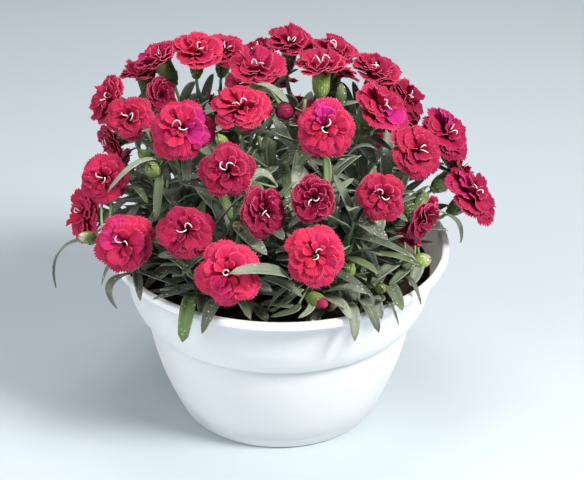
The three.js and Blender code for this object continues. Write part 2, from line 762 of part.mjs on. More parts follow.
/** The three corners of a leaf's section: its two edges and its keel. */
function leafSection(line, width, s) {
  const { point, direction } = line(s);
  const side = new THREE.Vector3().crossVectors(direction, UP).normalize();
  const normal = new THREE.Vector3().crossVectors(side, direction);
  const half = s > 0 ? 0.5 * width * leafWidth(s) : LEAF_ROOT.half;
  const edge = along(point, normal, s > 0 ? 2 * LEAF_FOLD * half : 0);
  const keel = s > 0 ? LEAF_KEEL : LEAF_ROOT.keel;
  return [along(edge, side, half), along(point, normal, -keel), along(edge, side, -half)];
}

/** A keeled blade along a middle line. */
function blade(line, width) {
  const rings = [0, ...LEAF_STATIONS].map((s) => leafSection(line, width, s));
  return skin([...rings, [line(1).point]]);
}

/** A long blade with the twig that carries it, whose sides run on into the blade's edges. */
function longBlade(line, width, curve) {
  const { direction } = line(0);
  const side = new THREE.Vector3().crossVectors(direction, UP).normalize();
  const normal = new THREE.Vector3().crossVectors(side, direction);
  const firstSide = along(side, normal, Math.tan(radians(30))).normalize();
  const twig = tubeRings(curve, [0, 0.5, 1], TWIG_RADIUS, TWIG_SIDES, firstSide);
  const rings = LONG_LEAF_STATIONS.map((s) => leafSection(line, width, s));
  return skin([...twig, ...rings, [line(1).point]]);
}

/** A leaf that leaves a place on a stem or crown, bent until it is clear, or null where no bend is. */
function placeLeaf(clump, { point, direction, out, lengths }, sideTurn, seed, own) {
  const random = seeded(seed);
  const { u, v } = across(direction);
  for (let attempt = 0; attempt < LEAF_TRIES; attempt += 1) {
    const turn = sideTurn + LEAF_RANGE.swing * (2 * random() - 1);
    const spread = radians(mix(...LEAF_RANGE.spread, random()));
    const length = mix(...lengths, random()) * (1 - 0.03 * attempt);
    const width = mix(...LEAF_RANGE.width, random());
    const droop = mix(...LEAF_RANGE.droop, random());
    const outward = new THREE.Vector3().addScaledVector(u, Math.cos(turn)).addScaledVector(v, Math.sin(turn));
    const aim = new THREE.Vector3()
      .addScaledVector(direction, Math.cos(spread))
      .addScaledVector(outward, Math.sin(spread));
    const leaf = { root: along(point, outward, out), aim, length, width, droop };
    if (Math.abs(aim.z) < STEEPEST_LEAF && leafIsFree(leaf, clump, own)) return leaf;
  }
  return null;
}

/** Whether a leaf's edges, keel and tip are all clear, and its middle line apart from other leaves. */
function leafIsFree(leaf, clump, own) {
  const line = leafLine(leaf);
  const corners = [0.2, 0.34, 0.54, 0.74, 0.9].flatMap((s) => leafSection(line, leaf.width, s));
  const middles = middleLine(line);
  return middles.every((point) => leafMiddles.every((other) => other.distanceTo(point) > LEAF_SPACING))
    && [...corners, line(1).point].every((point) => isFree(point, clump, own));
}

/** Points along the free part of a leaf's middle line. */
const middleLine = (line) => [0.3, 0.45, 0.6, 0.75, 0.9, 1].map((s) => line(s).point);

/** Opposite pairs of leaves at a stem's joints, each pair turned a quarter from the last. */
function stemLeaves(clump, curve, seed, own) {
  STEM_JOINTS.forEach((t, order) => {
    const place = { ...bend(curve, t), ...STEM_LEAVES };
    for (const side of [0, 1]) {
      keepLeaf(clump, placeLeaf(clump, place, Math.PI * (0.5 * order + side), seed + 10 * order + side, own));
    }
  });
}

/** Basal leaves all round a crown's head. */
function crownLeaves(clump) {
  const point = along(CROWNS[clump], UP, CROWN_HEAD.height - CROWN_LEAVES.depth);
  for (let k = 0; k < CROWN_LEAVES.count; k += 1) {
    const turn = (2 * Math.PI * k) / CROWN_LEAVES.count;
    const place = { point, direction: UP, ...CROWN_LEAVES };
    keepLeaf(clump, placeLeaf(clump, place, turn, SEED + 7000 + 20 * clump + k, -1));
  }
}

/** Adds a leaf, if there is one, to its clump. */
function keepLeaf(clump, leaf) {
  if (leaf === null) return;
  clumps[clump].leaves.push(leaf);
  leafMiddles.push(...middleLine(leafLine(leaf)));
}

// ------------------------------------------------------------------------- the clumps

const clumps = CROWNS.map((_, clump) => ({ fixed: [solidOf(crownShape(clump, 0))], leaves: [] }));
const stems = [];
const leafMiddles = [];
const budTips = [];

/** Grows a clump's flower stems from its crown. */
function growStems(clump) {
  const members = STALKS.map((_, k) => k).filter((k) => clumpAt(STALKS[k].foot) === clump);
  const feet = stemFeet(clump, members.map((k) => STALKS[k].foot));
  members.forEach((k, rank) => {
    const curve = clearStem(feet[rank], UP, STALKS[k].foot, STALKS[k].axis, SEED + 1000 + k, k);
    stems.push({ clump, flower: k, curve, path: stemPath(curve) });
    clumps[clump].fixed.push(solidOf(flowerStem(STALKS[k], curve)));
  });
}

/** Grows a bud on a twig. */
function growBud(entry, k) {
  const axis = heading(entry.turn, entry.tilt);
  const stalk = { ...entry, axis, heart: along(entry.foot, axis, entry.length) };
  const curve = twigCurve(entry.foot, axis, SEED + 4000 + k);
  clumps[clumpAt(entry.foot)].fixed.push(solidOf(budStem(stalk, curve)));
  if (entry.red) budTips.push(budTip(stalk));
  leafMiddles.push(stalk.foot, stalk.heart);
}

/** Grows a long leaf on a twig. */
function growLongLeaf(leaf, k) {
  const line = longLeafLine(leaf);
  const { direction } = line(0);
  const curve = twigCurve(leaf.root, direction, SEED + 5000 + k);
  clumps[clumpAt(leaf.root)].fixed.push(solidOf(longBlade(line, leaf.width, curve)));
  leafMiddles.push(...middleLine(line));
}

/** A leaf that hangs over the rim at a bearing. */
function rimLeaf(turn, random) {
  const out = heading(turn, 0);
  const aside = heading(turn + RIM_LEAVES.swing * (2 * random() - 1), 0);
  const at = (direction, [radius, height]) => [direction.x * radius, direction.y * radius, height];
  const tip = at(aside, [RIM_LEAF_TIP.radius, mix(...RIM_LEAF_TIP.height, random())]);
  return longLeaf(at(out, RIM_LEAF_ROOT), at(out, RIM_LEAF_OVER), tip, mix(...RIM_LEAVES.width, random()));
}

CROWNS.forEach((_, clump) => growStems(clump));
BUDS.forEach(growBud);
LONG_LEAVES.forEach(growLongLeaf);
const rimRandom = seeded(SEED + 6000);
for (let k = 0; k < RIM_LEAVES.count; k += 1) {
  const turn = mix(RIM_LEAVES.from, RIM_LEAVES.to, k / (RIM_LEAVES.count - 1));
  growLongLeaf(rimLeaf(turn, rimRandom), LONG_LEAVES.length + k);
}
for (const { clump, flower, curve } of stems) {
  stemLeaves(clump, curve, SEED + 2000 + 40 * flower, flower);
}
CROWNS.forEach((_, clump) => crownLeaves(clump));

// ------------------------------------------------------------------------ the assembly

const plant = new THREE.Group();

/** Adds a named mesh to the plant. */
function addNode(name, geometry, finish, position = new THREE.Vector3()) {
  const mesh = new THREE.Mesh(geometry, finish);
  mesh.name = name;
  mesh.position.copy(position);
  plant.add(mesh);
  return mesh;
}

const bowlSolid = bowl();
const soilSolid = soil();
addNode('bowl', geometryOf(bowlSolid), bowlPlastic);
addNode('soil', geometryOf(soilSolid), darkSoil);

const flowerSolids = FLOWERS.map(({ heart, span, cup }, k) => {
  const geometry = flowerGeometry(span, cup, seeded(SEED + 100 + k));
  const turn = facingTurn(STALKS[k].axis);
  const mesh = addNode(`flower_${String(k + 1).padStart(2, '0')}`, geometry, petalRed, heart);
  mesh.quaternion.copy(turn);
  geometry.computeVertexNormals();
  mesh.updateMatrix();
  return solidOf(geometry.clone().applyMatrix4(mesh.matrix));
});

budTips.forEach((geometry, k) => {
  geometry.computeVertexNormals();
  addNode(`bud_tip_${k + 1}`, geometry, petalRed);
});

/** The members of one clump as one body: leaves that would cross another node are left off. */
function clumpSolid(clump) {
  const { fixed, leaves } = clumps[clump];
  const others = clumps.filter((_, k) => k !== clump).flatMap((entry) => entry.fixed);
  const obstacles = [bowlSolid, soilSolid, ...flowerSolids, ...others];
  const blades = leaves
    .map((leaf) => solidOf(blade(leafLine(leaf), leaf.width)))
    .filter((solid) => !obstacles.some((obstacle) => cross(solid, obstacle)));
  const bodies = wasm.Manifold.union([...fixed, ...blades]).decompose();
  return bodies.reduce((largest, body) => (body.volume() > largest.volume() ? body : largest));
}

CROWNS.forEach((crown, clump) => {
  const geometry = geometryOf(clumpSolid(clump));
  geometry.translate(-crown.x, -crown.y, 0);
  addNode(`clump_${clump + 1}`, geometry, leafGreen, crown);
});

export default plant;
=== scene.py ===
"""Dresses a bowl of garden pinks: petals, leaves, stems, buds, soil and the moulded bowl.

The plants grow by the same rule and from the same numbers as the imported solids, so each
fine piece lies where the node that it replaces lies. Lengths are in millimetres until a
piece is finished, which turns them into metres.
"""

import logging
import math
from dataclasses import dataclass
from enum import Enum
from typing import Callable

import bmesh
import bpy
import numpy as np
from mathutils import Matrix, Vector, noise


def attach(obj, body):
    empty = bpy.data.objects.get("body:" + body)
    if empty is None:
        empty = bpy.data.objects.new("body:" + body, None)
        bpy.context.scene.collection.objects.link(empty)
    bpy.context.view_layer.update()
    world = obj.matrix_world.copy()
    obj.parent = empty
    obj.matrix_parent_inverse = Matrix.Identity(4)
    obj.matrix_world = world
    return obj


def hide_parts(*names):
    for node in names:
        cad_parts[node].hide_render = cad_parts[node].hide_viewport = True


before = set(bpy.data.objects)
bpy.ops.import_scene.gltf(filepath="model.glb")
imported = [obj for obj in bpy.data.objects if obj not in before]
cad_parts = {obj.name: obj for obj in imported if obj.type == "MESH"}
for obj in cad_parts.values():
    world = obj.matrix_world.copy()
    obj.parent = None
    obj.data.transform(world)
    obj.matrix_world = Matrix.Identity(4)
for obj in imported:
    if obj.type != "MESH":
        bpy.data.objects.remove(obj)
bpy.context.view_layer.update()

LOG = logging.getLogger("pinks")
MM = 0.001
UP = np.array([0.0, 0.0, 1.0])
SEED = 2024
MERGE_GAP = 1e-3

Point = np.ndarray
Path = list[tuple[Point, Point]]
Piece = bpy.types.Object
Socket = bpy.types.NodeSocket
Colour = tuple[float, float, float]
Handles = tuple[Point, Point, Point, Point]
Place = Callable[[float, float], tuple[float, float, float] | Point]
Wash = Callable[[float, float], Colour]


class Slot(Enum):
    """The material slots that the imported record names."""

    BOWL = "bowl_plastic"
    SOIL = "soil"
    LEAF = "leaf"
    PETAL = "petal"


class Tone(Enum):
    """How light a flower's crimson is, from 0 to 1."""

    DEEP = 0.03
    DUSKY = 0.25
    CRIMSON = 0.45
    BRIGHT = 0.68
    ROSE = 0.95


class Draw(Enum):
    """What draws numbers of its own, and how far past the seed each kind starts."""

    BLOOM = 300
    CALYX = 500
    BUD = 600
    CRUMBS = 800
    STEM = 1000
    STEM_LEAVES = 2000
    BUD_TWIG = 4000
    LONG_LEAF = 5000
    FINE_LONG_LEAF = 5100
    RIM_LEAVES = 6000
    CROWN_LEAVES = 7000
    FINE_CROWN_LEAVES = 8000
    FINE_STEM_LEAVES = 9000
    LEAF = 10000
    HIGH_SHOOT = 12000
    HIGH_SHOOT_STEM = 13000
    LOW_SHOOT = 14000
    LOW_SHOOT_STEM = 15000
    LOW_SHOOT_LEAVES = 16000
    HIGH_SHOOT_LEAVES = 18000

    def seed(self, k: int = 0) -> int:
        """The seed of the k-th of its kind."""
        return SEED + self.value + k


# ---- the planting


@dataclass(frozen=True)
class Seat:
    """A flower's place and look.

    Its heart is at x, y and z. Turn is its bearing from the front, tilt its angle above
    the horizontal, span its width and cup how far it is closed. Flush is how magenta some
    petals are, and side where they are on its face, in degrees from the right. Fresh is
    how yellow its calyx is, and styles how many curl out of its heart.
    """

    x: float
    y: float
    z: float
    turn: float
    tilt: float
    span: float
    cup: float = 0.0
    tone: Tone = Tone.CRIMSON
    flush: float = 0.0
    side: float = 90.0
    fresh: float = 0.2
    styles: int = 2


@dataclass(frozen=True)
class Bud:
    """A bud: its foot, the way that its stem ends, its length and size.

    Ball is the radius of the red petals in its mouth, facing the turn and tilt that it
    nods to, fresh how yellow it is and pale how far its tips are bleached.
    """

    x: float
    y: float
    z: float
    turn: float
    tilt: float
    length: float
    plump: float = 1.0
    ball: float = 0.0
    facing: tuple[float, float] | None = None
    fresh: float = 0.8
    pale: float = 0.0


@dataclass(frozen=True)
class LongLeaf:
    """A leaf that hangs clear: its root, a point that it passes, its tip and its width.

    Fresh is how yellow it is, blunt how early it narrows, roll its turn on its middle line
    in degrees, and a loose one may be left out where a clearing is.
    """

    root: tuple[float, float, float]
    over: tuple[float, float, float]
    tip: tuple[float, float, float]
    width: float
    fresh: float = 0.15
    blunt: float = 0.75
    roll: float = 0.0
    loose: bool = False


SEATS = [
    # the low front and the left shoulder
    Seat(-108, -84, 179, -15, 35, 44, 0, Tone.BRIGHT, 0.4, 150),
    Seat(-64, -101, 198, 0, 50, 42, -0.08, Tone.DUSKY),
    Seat(-34, -126, 179, 0, 30, 47, 0, Tone.ROSE, 0.3, 240),
    Seat(24, -123, 192, 0, 35, 42, 0, Tone.ROSE),
    Seat(-11, -102, 213, 40, 20, 38, 0.06, Tone.DEEP),
    Seat(22, -98, 221, 0, 30, 34, 0.2, Tone.DEEP),
    Seat(-36, -83, 235, -5, 35, 39, 0, Tone.DUSKY),
    Seat(69, -84, 217, 5, 30, 36),
    Seat(30, -60, 257, 0, 35, 42, 0, Tone.BRIGHT, 1.0, 100),
    Seat(-28, -43, 264, -5, 66, 44, 0.06, Tone.BRIGHT),
    Seat(-69, -46, 249, -5, 45, 47, -0.04, Tone.BRIGHT, 0.7, 10),
    Seat(-126, -31, 203, -15, 35, 38, 0, Tone.BRIGHT),
    Seat(-146, -4, 161, -66, 20, 46, 0, Tone.BRIGHT),
    Seat(-126, 28, 204, -55, -15, 34, 0.15),
    Seat(-110, 2, 236, -5, 55, 38, 0.06),
    Seat(-128, 34, 236, -62, 32, 41, 0.1),
    Seat(-88, 24, 244, 45, 25, 29, 0.15, Tone.DEEP, styles=0),
    # the top
    Seat(-17, 9, 272, 15, 77, 46, 0.12),
    Seat(29, 18, 270, -5, 88, 44, 0.26, Tone.CRIMSON, fresh=1.0),
    Seat(-25, 28, 252, -20, 60, 36, 0.2),
    Seat(26, 48, 220, 10, 72, 34, 0, Tone.DEEP),
    Seat(-42, 61, 265, 20, 66, 35, 0.2),
    Seat(-18, 75, 259, -45, 65, 32, 0.1, Tone.DUSKY),
    Seat(7, 70, 268, 25, 76, 41, 0.2, Tone.DUSKY),
    Seat(40, 54, 268, 55, 74, 39, 0.2, Tone.DUSKY),
    Seat(-61, 36, 274, 12, 65, 40, 0.2, Tone.BRIGHT),
    Seat(-90, 39, 268, -75, 65, 38, 0.25, Tone.CRIMSON, 0.8, 260),
    Seat(-103, 54, 251, -75, 78, 38, 0.2, Tone.BRIGHT),
    Seat(70, 35, 260, 55, 74, 41, 0.2, Tone.DUSKY),
    # the right shoulder
    Seat(72, -20, 254, 56, 52, 45, 0.08, Tone.CRIMSON, 0.8, 260),
    Seat(94, 34, 239, 68, 35, 38, 0, Tone.DEEP),
    Seat(96, -42, 232, 41, 39, 44),
    Seat(124, 23, 216, 61, 46, 47, 0, Tone.DUSKY, 0.9, 70),
    Seat(141, -11, 183, 69, 49, 49, 0, Tone.DUSKY, 0.45, 110),
    Seat(101, -64, 189, 50, -10, 35, 0.12, Tone.DEEP, 0.15, styles=0),
    Seat(94, -53, 176, -30, -45, 26, 0.8, Tone.DEEP, 0.25, styles=0),
    # the back
    Seat(81, 58, 236, 130, 60, 40),
    Seat(41, 80, 241, 155, 65, 42, 0, Tone.BRIGHT),
    Seat(-8, 110, 222, -175, 55, 40),
    Seat(-52, 108, 200, -165, 50, 40, 0.06, Tone.BRIGHT, 0.5),
    Seat(136, 41, 176, 110, 30, 42),
    Seat(105, 81, 190, 130, 40, 40, 0, Tone.DEEP),
    Seat(68, 117, 171, 150, 30, 44, 0, Tone.ROSE),
    Seat(12, 126, 190, 175, 40, 42, 0.1, Tone.CRIMSON, 0.8, 200),
    Seat(-45, 127, 166, -160, 30, 42, 0, Tone.BRIGHT),
    Seat(-89, 98, 185, -140, 35, 44),
    Seat(-128, 60, 171, -115, 30, 40, 0, Tone.DEEP),
]

BUDS = [
    Bud(-88, -44, 214, -10, 40, 20, 1.35),
    Bud(-93, -24, 214, -50, 45, 15),
    Bud(-131, -56, 167, -60, 25, 14, 1.1, 0.0, (-66, 20), 0.5, 0.6),
    Bud(-38, -57, 241, -35, 50, 15),
    Bud(43, -17, 256, 30, 60, 15, 0.9, 0.0, (10, 105), 0.15),
    Bud(3, -41, 260, 0, 25, 16, 1.0, 5.8, (0, 52), 0.05),
    Bud(96, -49, 146, 90, 30, 15, 1.4, 0.0, (72, 22), 0.9, 0.3),
    Bud(70, -83, 143, 5, 30, 19, 0.9),
    Bud(47, -89, 156, 20, 60, 18),
    Bud(20, -88, 140, 25, 15, 26, 1.0, 3.6, None, 0.95),
]

LONG_LEAVES = [LongLeaf(*row) for row in (
    # over the front rim, from the left to the right
    ((-107, -61, 142), (-120, -81, 142), (-116, -78, 122), 6.5, 0.05),
    ((-102, -60, 144), (-99, -86, 147), (-97, -97, 140), 7, 0.0),
    ((-61, -86, 138), (-63, -115, 144), (-67, -118, 119), 10.5, 0.9, 0.3),
    ((-42, -90, 136), (-48, -120, 144), (-53, -124, 130), 10),
    ((-49, -72, 134), (-66, -84, 143), (-84, -88, 144), 11),
    ((27, -82, 138), (37, -103, 146), (46, -122, 150), 11),
    ((44, -92, 135), (51, -118, 142.5), (52, -126, 126), 9, 0.1, 0.6),
    ((56, -90, 138), (62, -112, 145), (69, -119, 129), 9.5, 0.05, 0.6),
    ((63, -76, 136), (70, -100, 145), (70, -114, 152), 8),
    ((75, -67, 138), (80, -93, 146), (85, -110, 142), 10.5, 0.3, 0.5),
    ((88, -60, 140), (95, -81, 146), (99, -95, 138), 3.6, 0.05),
    # inside the rim and between the low flowers
    ((18, -78, 140), (4, -82, 147), (-12, -80, 154), 10),
    ((20, -88, 132), (8, -99, 137), (-7, -105, 143), 8, 0.5),
    ((86, -50, 147), (75, -65, 152), (60, -80, 154), 9.5),
    ((7, -116, 170), (-12, -136, 188), (-33, -146, 190), 10, 0.1, 0.6, 38),
    # long narrow leaves that arch out of the sides
    ((-80, -44, 224), (-103, -64, 228), (-119, -74, 213), 5.5),
    ((-134, -40, 157), (-160, -34, 146), (-165, -38, 116), 7),
    ((119, -44, 183), (127, -50, 179), (129, -56, 166), 4.5),
    # the broad leaf among the top flowers
    ((6, -34, 260), (-6, -26, 271), (-18, -20, 272), 6.5, 0.1),
)]

FINE_LONG_LEAVES = [LongLeaf(*row) for row in (
    # over the soil in front
    ((-14, -82, 150), (1, -98, 156), (16, -100, 146), 9.5, 0.15, 0.5),
    ((14, -99, 140), (6, -115, 142), (-6, -113, 138), 6.5, 0.35, 0.6),
    ((22, -97, 142), (20, -114, 143), (13, -120, 141), 5.5, 0.3, 0.6),
    ((-23, -90, 142), (-22, -99, 138), (-22, -102, 130), 8.5, 0, 0.6),
    # between the low flowers at the left
    ((-85, -41, 216), (-86, -56, 200), (-87, -65, 187), 6.5, 0.35, 0.6),
    ((-78, -75, 164), (-69, -85, 163), (-59, -93, 155), 6.5, 0.75),
    ((-108, -13, 188), (-101, -27, 190), (-95, -33, 184), 6, 0.8, 0.6),
    ((-75, -62, 150), (-86, -66, 154), (-99, -69, 152), 6.5, 0.1, 0.6),
    ((-71, -61, 148), (-77, -74, 152), (-84, -82, 149), 5, 0.6),
    ((-100, -64, 146), (-86, -79, 149), (-71, -83, 145), 8, 0.1, 0.7),
    ((-54, -69, 138), (-69, -92, 146), (-88, -101, 144), 8.5, 0, 0.8, 10),
    ((-29, -88, 176), (-28, -88, 184), (-27, -85, 194), 6, 0.05, 0.9),
    ((-47, -67, 204), (-42, -79, 197), (-37, -82, 186), 6, 0.05, 0.7),
    # in the hollow between the upper and the lower flowers
    ((-6, -42, 214), (-7, -36, 226), (-6, -20, 229), 8, 0.65, 0.1),
    ((-28, -39, 238), (-13, -32, 241), (7, -42, 232), 4.6, 0.05, 0.8),
    ((11, -79, 214), (12, -58, 222), (11, -49, 234), 9, 0, 0.8),
    ((-2, -48, 220), (7, -40, 228), (17, -41, 228), 4, 0.3, 0.7),
    ((-3, -65, 216), (-14, -67, 226), (-24, -78, 216), 6, 0.1, 0.8, 20),
    ((33, -60, 214), (33, -52, 221), (32, -48, 229), 5.6, 0.7, 0.2),
    ((33, -56, 212), (44, -55, 224), (56, -53, 233), 7.7, 0.3, 0.8),
    ((46, -35, 222), (59, -36, 233), (72, -35, 224), 5.3, 0, 0.8),
    ((63, -8, 227), (70, -21, 229), (80, -20, 222), 7, 0, 0.7),
    ((37, -57, 210), (44, -60, 210), (51, -56, 205), 3.5, 0.3, 0.8),
    ((-19, -25, 212), (-10, -32, 215), (0, -31, 212), 5, 0, 0.7),
    # in front at the right
    ((49, -57, 160), (48, -51, 168), (49, -43, 180), 9, 0.1, 0.5),
    ((54, -53, 166), (61, -52, 172), (71, -46, 178), 7.5, 0, 0.5),
    ((57, -57, 160), (65, -57, 165), (74, -54, 171), 5.5, 0.5, 0.6),
    ((60, -57, 162), (66, -78, 162), (69, -83, 152), 6.5, 0.1, 0.7),
    ((85, -60, 152), (75, -77, 155), (64, -85, 149), 10, 0.1, 0.5),
    ((97, -50, 150), (88, -70, 150), (77, -80, 144), 8, 0.35, 0.6),
    ((101, -48, 146), (98, -63, 145), (93, -73, 140), 8.5, 0, 0.45),
    ((69, -78, 138), (64, -79, 143), (60, -78, 146), 7, 0.35, 0.5),
    ((43, -60, 142), (46, -89, 147), (48, -99, 140), 8.5, 0.1, 0.5),
    ((51, -79, 140), (53, -94, 143), (52, -102, 140), 7, 0.1, 0.5),
    ((57, -97, 134), (60, -95, 141), (63, -91, 147), 5.5, 0.6, 0.6),
    ((65, -84, 138), (68, -105, 144), (71, -109, 134), 7.5, 0, 0.5),
    ((75, -89, 136), (79, -110, 142), (83, -112, 131), 2.6, 0.2, 0.9),
    ((67, -58, 156), (74, -66, 158), (83, -66, 154), 7, 0.05, 0.5),
    ((40, -97, 142), (45, -116, 146), (50, -122, 141), 7.5, 0.1, 0.5),
    ((54, -54, 170), (58, -63, 166), (62, -65, 158), 6, 0, 0.5),
    ((41, -47, 184), (46, -53, 178), (51, -57, 170), 6.5, 0, 0.5),
)]

CLEARINGS = [
    # gaps where the light comes through: centre and radius
    (132, -8, 145, 24), (131, 28, 130, 16), (112, -8, 184, 14), (101, -28, 193, 8),
    (103, 18, 168, 13), (118, 34, 158, 13), (14, 72, 230, 12), (45, 90, 221, 9),
    (15, 16, 247, 11), (26, 52, 240, 9), (-66, 12, 248, 6), (-57, 46, 243, 7),
    (-118, 40, 192, 8), (-114, 11, 206, 6), (0, -140, 145, 22), (124, -43, 144, 9),
]


@dataclass(frozen=True)
class Habit:
    """The sizes that every plant grows to, and the room that it keeps."""

    crown_circle: float = 76
    crown_foot: float = 100
    foot_height: float = 120
    crown_height: float = 123
    crown_radius: float = 7
    stem_spread: float = 4.6
    joints: tuple[float, ...] = (0.36, 0.7)
    path_steps: int = 7
    stem_tries: int = 24
    stem_checks: int = 13
    lower_handle: float = 0.42
    upper_handle: float = 0.3
    sway: float = 0.22
    calyx_length: float = 21
    steepest_leaf: float = 0.96
    soil_reach: float = 122
    dry_share: float = 0.008
    dome_height: float = 132
    dome: tuple[float, float, float] = (150, 138, 142)


@dataclass(frozen=True)
class Room:
    """The room that leaves and stems keep round what they pass."""

    flower: float = 2
    flower_depth: float = 9.5
    flower_lift: float = 4
    calyx: float = 7
    stem: float = 3.6
    ground: float = 1.2
    wall: float = 2.5


ROOM = Room()
TIGHT = Room(flower=-1, flower_depth=7, calyx=5.6, stem=0, ground=-22, wall=1.5)


@dataclass(frozen=True)
class Ranges:
    """The least and the most of what varies from leaf to leaf."""

    spread: tuple[float, float] = (28, 78)
    width: tuple[float, float] = (7, 10.5)
    droop: tuple[float, float] = (0.02, 0.42)
    swing: float = 0.45


@dataclass(frozen=True)
class Whorl:
    """Leaves round one place: how far out they root, their lengths, spacing and tries."""

    out: float
    lengths: tuple[float, float]
    spacing: float
    tries: int


STEM_WHORL = Whorl(0.25, (34, 58), 12, 8)
CROWN_WHORL = Whorl(4.2, (50, 86), 12, 8)
FINE_STEM_WHORL = Whorl(0.8, (30, 54), 6, 5)
FINE_CROWN_WHORL = Whorl(4.2, (44, 84), 6.5, 6)
SHOOT_WHORL = Whorl(0.7, (26, 48), 4.8, 5)
CROWN_LEAVES = 9
FINE_CROWN_LEAVES = 16
FINE_JOINTS = (0.25, 0.5, 0.6, 0.82)
CROWN_LEAF_DEPTH = 1.8


@dataclass(frozen=True)
class Shoots:
    """The leafy shoots without flowers that fill the plants and their edge at the rim.

    High ones end at a share of the way up to the dome's surface, and low ones near the
    rim, except at the right, where the soil shows.
    """

    per_crown: int = 5
    spread: tuple[float, float] = (6, 34)
    rise: tuple[float, float] = (0.42, 0.86)
    low_pitch: float = 19
    low_gap: tuple[float, float] = (54, 92)
    low_radius: tuple[float, float] = (88, 101)
    low_height: tuple[float, float] = (134, 150)
    joints: tuple[float, ...] = (0.34, 0.48, 0.6, 0.71, 0.81, 0.9, 0.97)
    low_joints: tuple[float, ...] = (0.62, 0.8, 0.97)


@dataclass(frozen=True)
class RimLeaves:
    """The leaves that hang over the rim at the back."""

    count: int = 9
    start: float = 78
    end: float = 290
    swing: float = 8
    width: tuple[float, float] = (8, 10.5)
    root: tuple[float, float] = (100, 137)
    over: tuple[float, float] = (122, 146.5)
    tip_radius: float = 138
    tip_height: tuple[float, float] = (117, 131)


# ---- numbers and lines


class Dice:
    """A repeatable source of numbers from 0 to 1."""

    def __init__(self, seed: int) -> None:
        """Starts from a seed."""
        self.state = seed & 0xFFFFFFFF

    def roll(self) -> float:
        """The next number.

        Returns:
            A number from 0 to 1.
        """
        self.state = (self.state + 0x6D2B79F5) & 0xFFFFFFFF
        t = ((self.state ^ (self.state >> 15)) * (1 | self.state)) & 0xFFFFFFFF
        t = ((t + (((t ^ (t >> 7)) * (61 | t)) & 0xFFFFFFFF)) ^ t) & 0xFFFFFFFF
        return (t ^ (t >> 14)) / 4294967296

    def between(self, low: float, high: float) -> float:
        """A number between two others."""
        return low + (high - low) * self.roll()

    def swing(self, most: float) -> float:
        """A number from minus most to most."""
        return most * (2 * self.roll() - 1)


def heading(turn: float, tilt: float) -> Point:
    """The unit vector at a bearing from the front and a tilt above the horizontal.

    Args:
        turn: The bearing in degrees, with the right at 90.
        tilt: The angle above the horizontal in degrees.

    Returns:
        The unit vector.
    """
    bearing, rise = math.radians(turn), math.radians(tilt)
    flat = math.cos(rise)
    return np.array([flat * math.sin(bearing), -flat * math.cos(bearing), math.sin(rise)])


def unit(vector: Point) -> Point:
    """The vector at length 1."""
    return vector / np.linalg.norm(vector)


def square_to(axis: Point) -> tuple[Point, Point]:
    """Two unit vectors square to an axis and to each other.

    Args:
        axis: The unit axis.

    Returns:
        The two vectors.
    """
    u = np.cross(axis, UP)
    u = np.array([1.0, 0.0, 0.0]) if u @ u < 1e-6 else unit(u)
    return u, np.cross(axis, u)


def bend(handles: Handles, t: float) -> tuple[Point, Point]:
    """The point, and the direction of travel, on a curve.

    Args:
        handles: The curve's two ends and the two handles between them.
        t: How far along, from 0 to 1.

    Returns:
        The point and the unit direction.
    """
    a, b, c, d = handles
    s = 1 - t
    point = a * s**3 + b * (3 * s * s * t) + c * (3 * s * t * t) + d * t**3
    direction = (b - a) * (s * s) + (c - b) * (2 * s * t) + (d - c) * (t * t)
    return point, unit(direction)


def smooth(value: float, low: float, high: float) -> float:
    """A smooth rise from 0 at low to 1 at high."""
    t = min(max((value - low) / (high - low), 0.0), 1.0)
    return t * t * (3 - 2 * t)


def spoke(u: Point, v: Point, angle: float) -> Point:
    """The unit vector at an angle from u towards v, which are square to each other."""
    return u * math.cos(angle) + v * math.sin(angle)


def zigzag(value: float) -> float:
    """A wave of straight lines, 1 at whole numbers and 0 halfway between them."""
    return abs((value % 1) - 0.5) * 2


def rounded(corners: tuple, count: int) -> list[tuple[float, float]]:
    """A smooth line through some corners.

    Args:
        corners: Radius and height of each corner, from the foot up.
        count: How many points to give.

    Returns:
        Radius and height of points evenly spaced in height.
    """
    radii, heights = np.array(corners, float).T
    curve = np.polyfit(heights, radii, len(corners) - 1)
    return [(float(np.polyval(curve, z)), float(z)) for z in np.linspace(heights[0], heights[-1], count)]


def leaf_width(s: float) -> float:
    """A leaf's width at a share of its length, as a share of its widest."""
    return max(math.sin(math.pi * (0.12 + 0.88 * s)), 0.0) ** 0.75


# ---- the growth


@dataclass(frozen=True)
class Stalk:
    """What a stem ends in: the heart, the way it faces and the foot of its calyx."""

    heart: Point
    axis: Point
    foot: Point
    length: float


@dataclass(frozen=True)
class Stem:
    """A flower's stem: its clump, its flower, its curve and places along it."""

    clump: int
    flower: int
    curve: Handles
    path: Path


@dataclass(frozen=True)
class Blade:
    """A leaf: its middle line, width, freshness, dryness and the twig that carries it.

    Twist turns it towards its tip, in radians, blunt is how early it narrows, roll its
    turn on its middle line in degrees, and a kept one stays where a clearing is.
    """

    clump: int
    line: Callable[[float], tuple[Point, Point]]
    width: float
    fresh: float
    dry: float
    twig: Handles | None = None
    twist: float = 0.0
    blunt: float = 0.75
    roll: float = 0.0
    kept: bool = False


def drooping_line(root: Point, aim: Point, length: float, droop: float) -> Callable:
    """The middle line of a leaf that droops under its own weight.

    Args:
        root: Where it starts.
        aim: The unit way that it leaves.
        length: Its length.
        droop: How far its tip drops, as a share of its length.

    Returns:
        A function from the share of the length to a point and a direction.
    """

    def line(s: float) -> tuple[Point, Point]:
        """The point and direction at s."""
        point = root + aim * (length * s) - UP * (droop * length * s * s)
        return point, unit(aim * length - UP * (2 * droop * length * s))

    return line


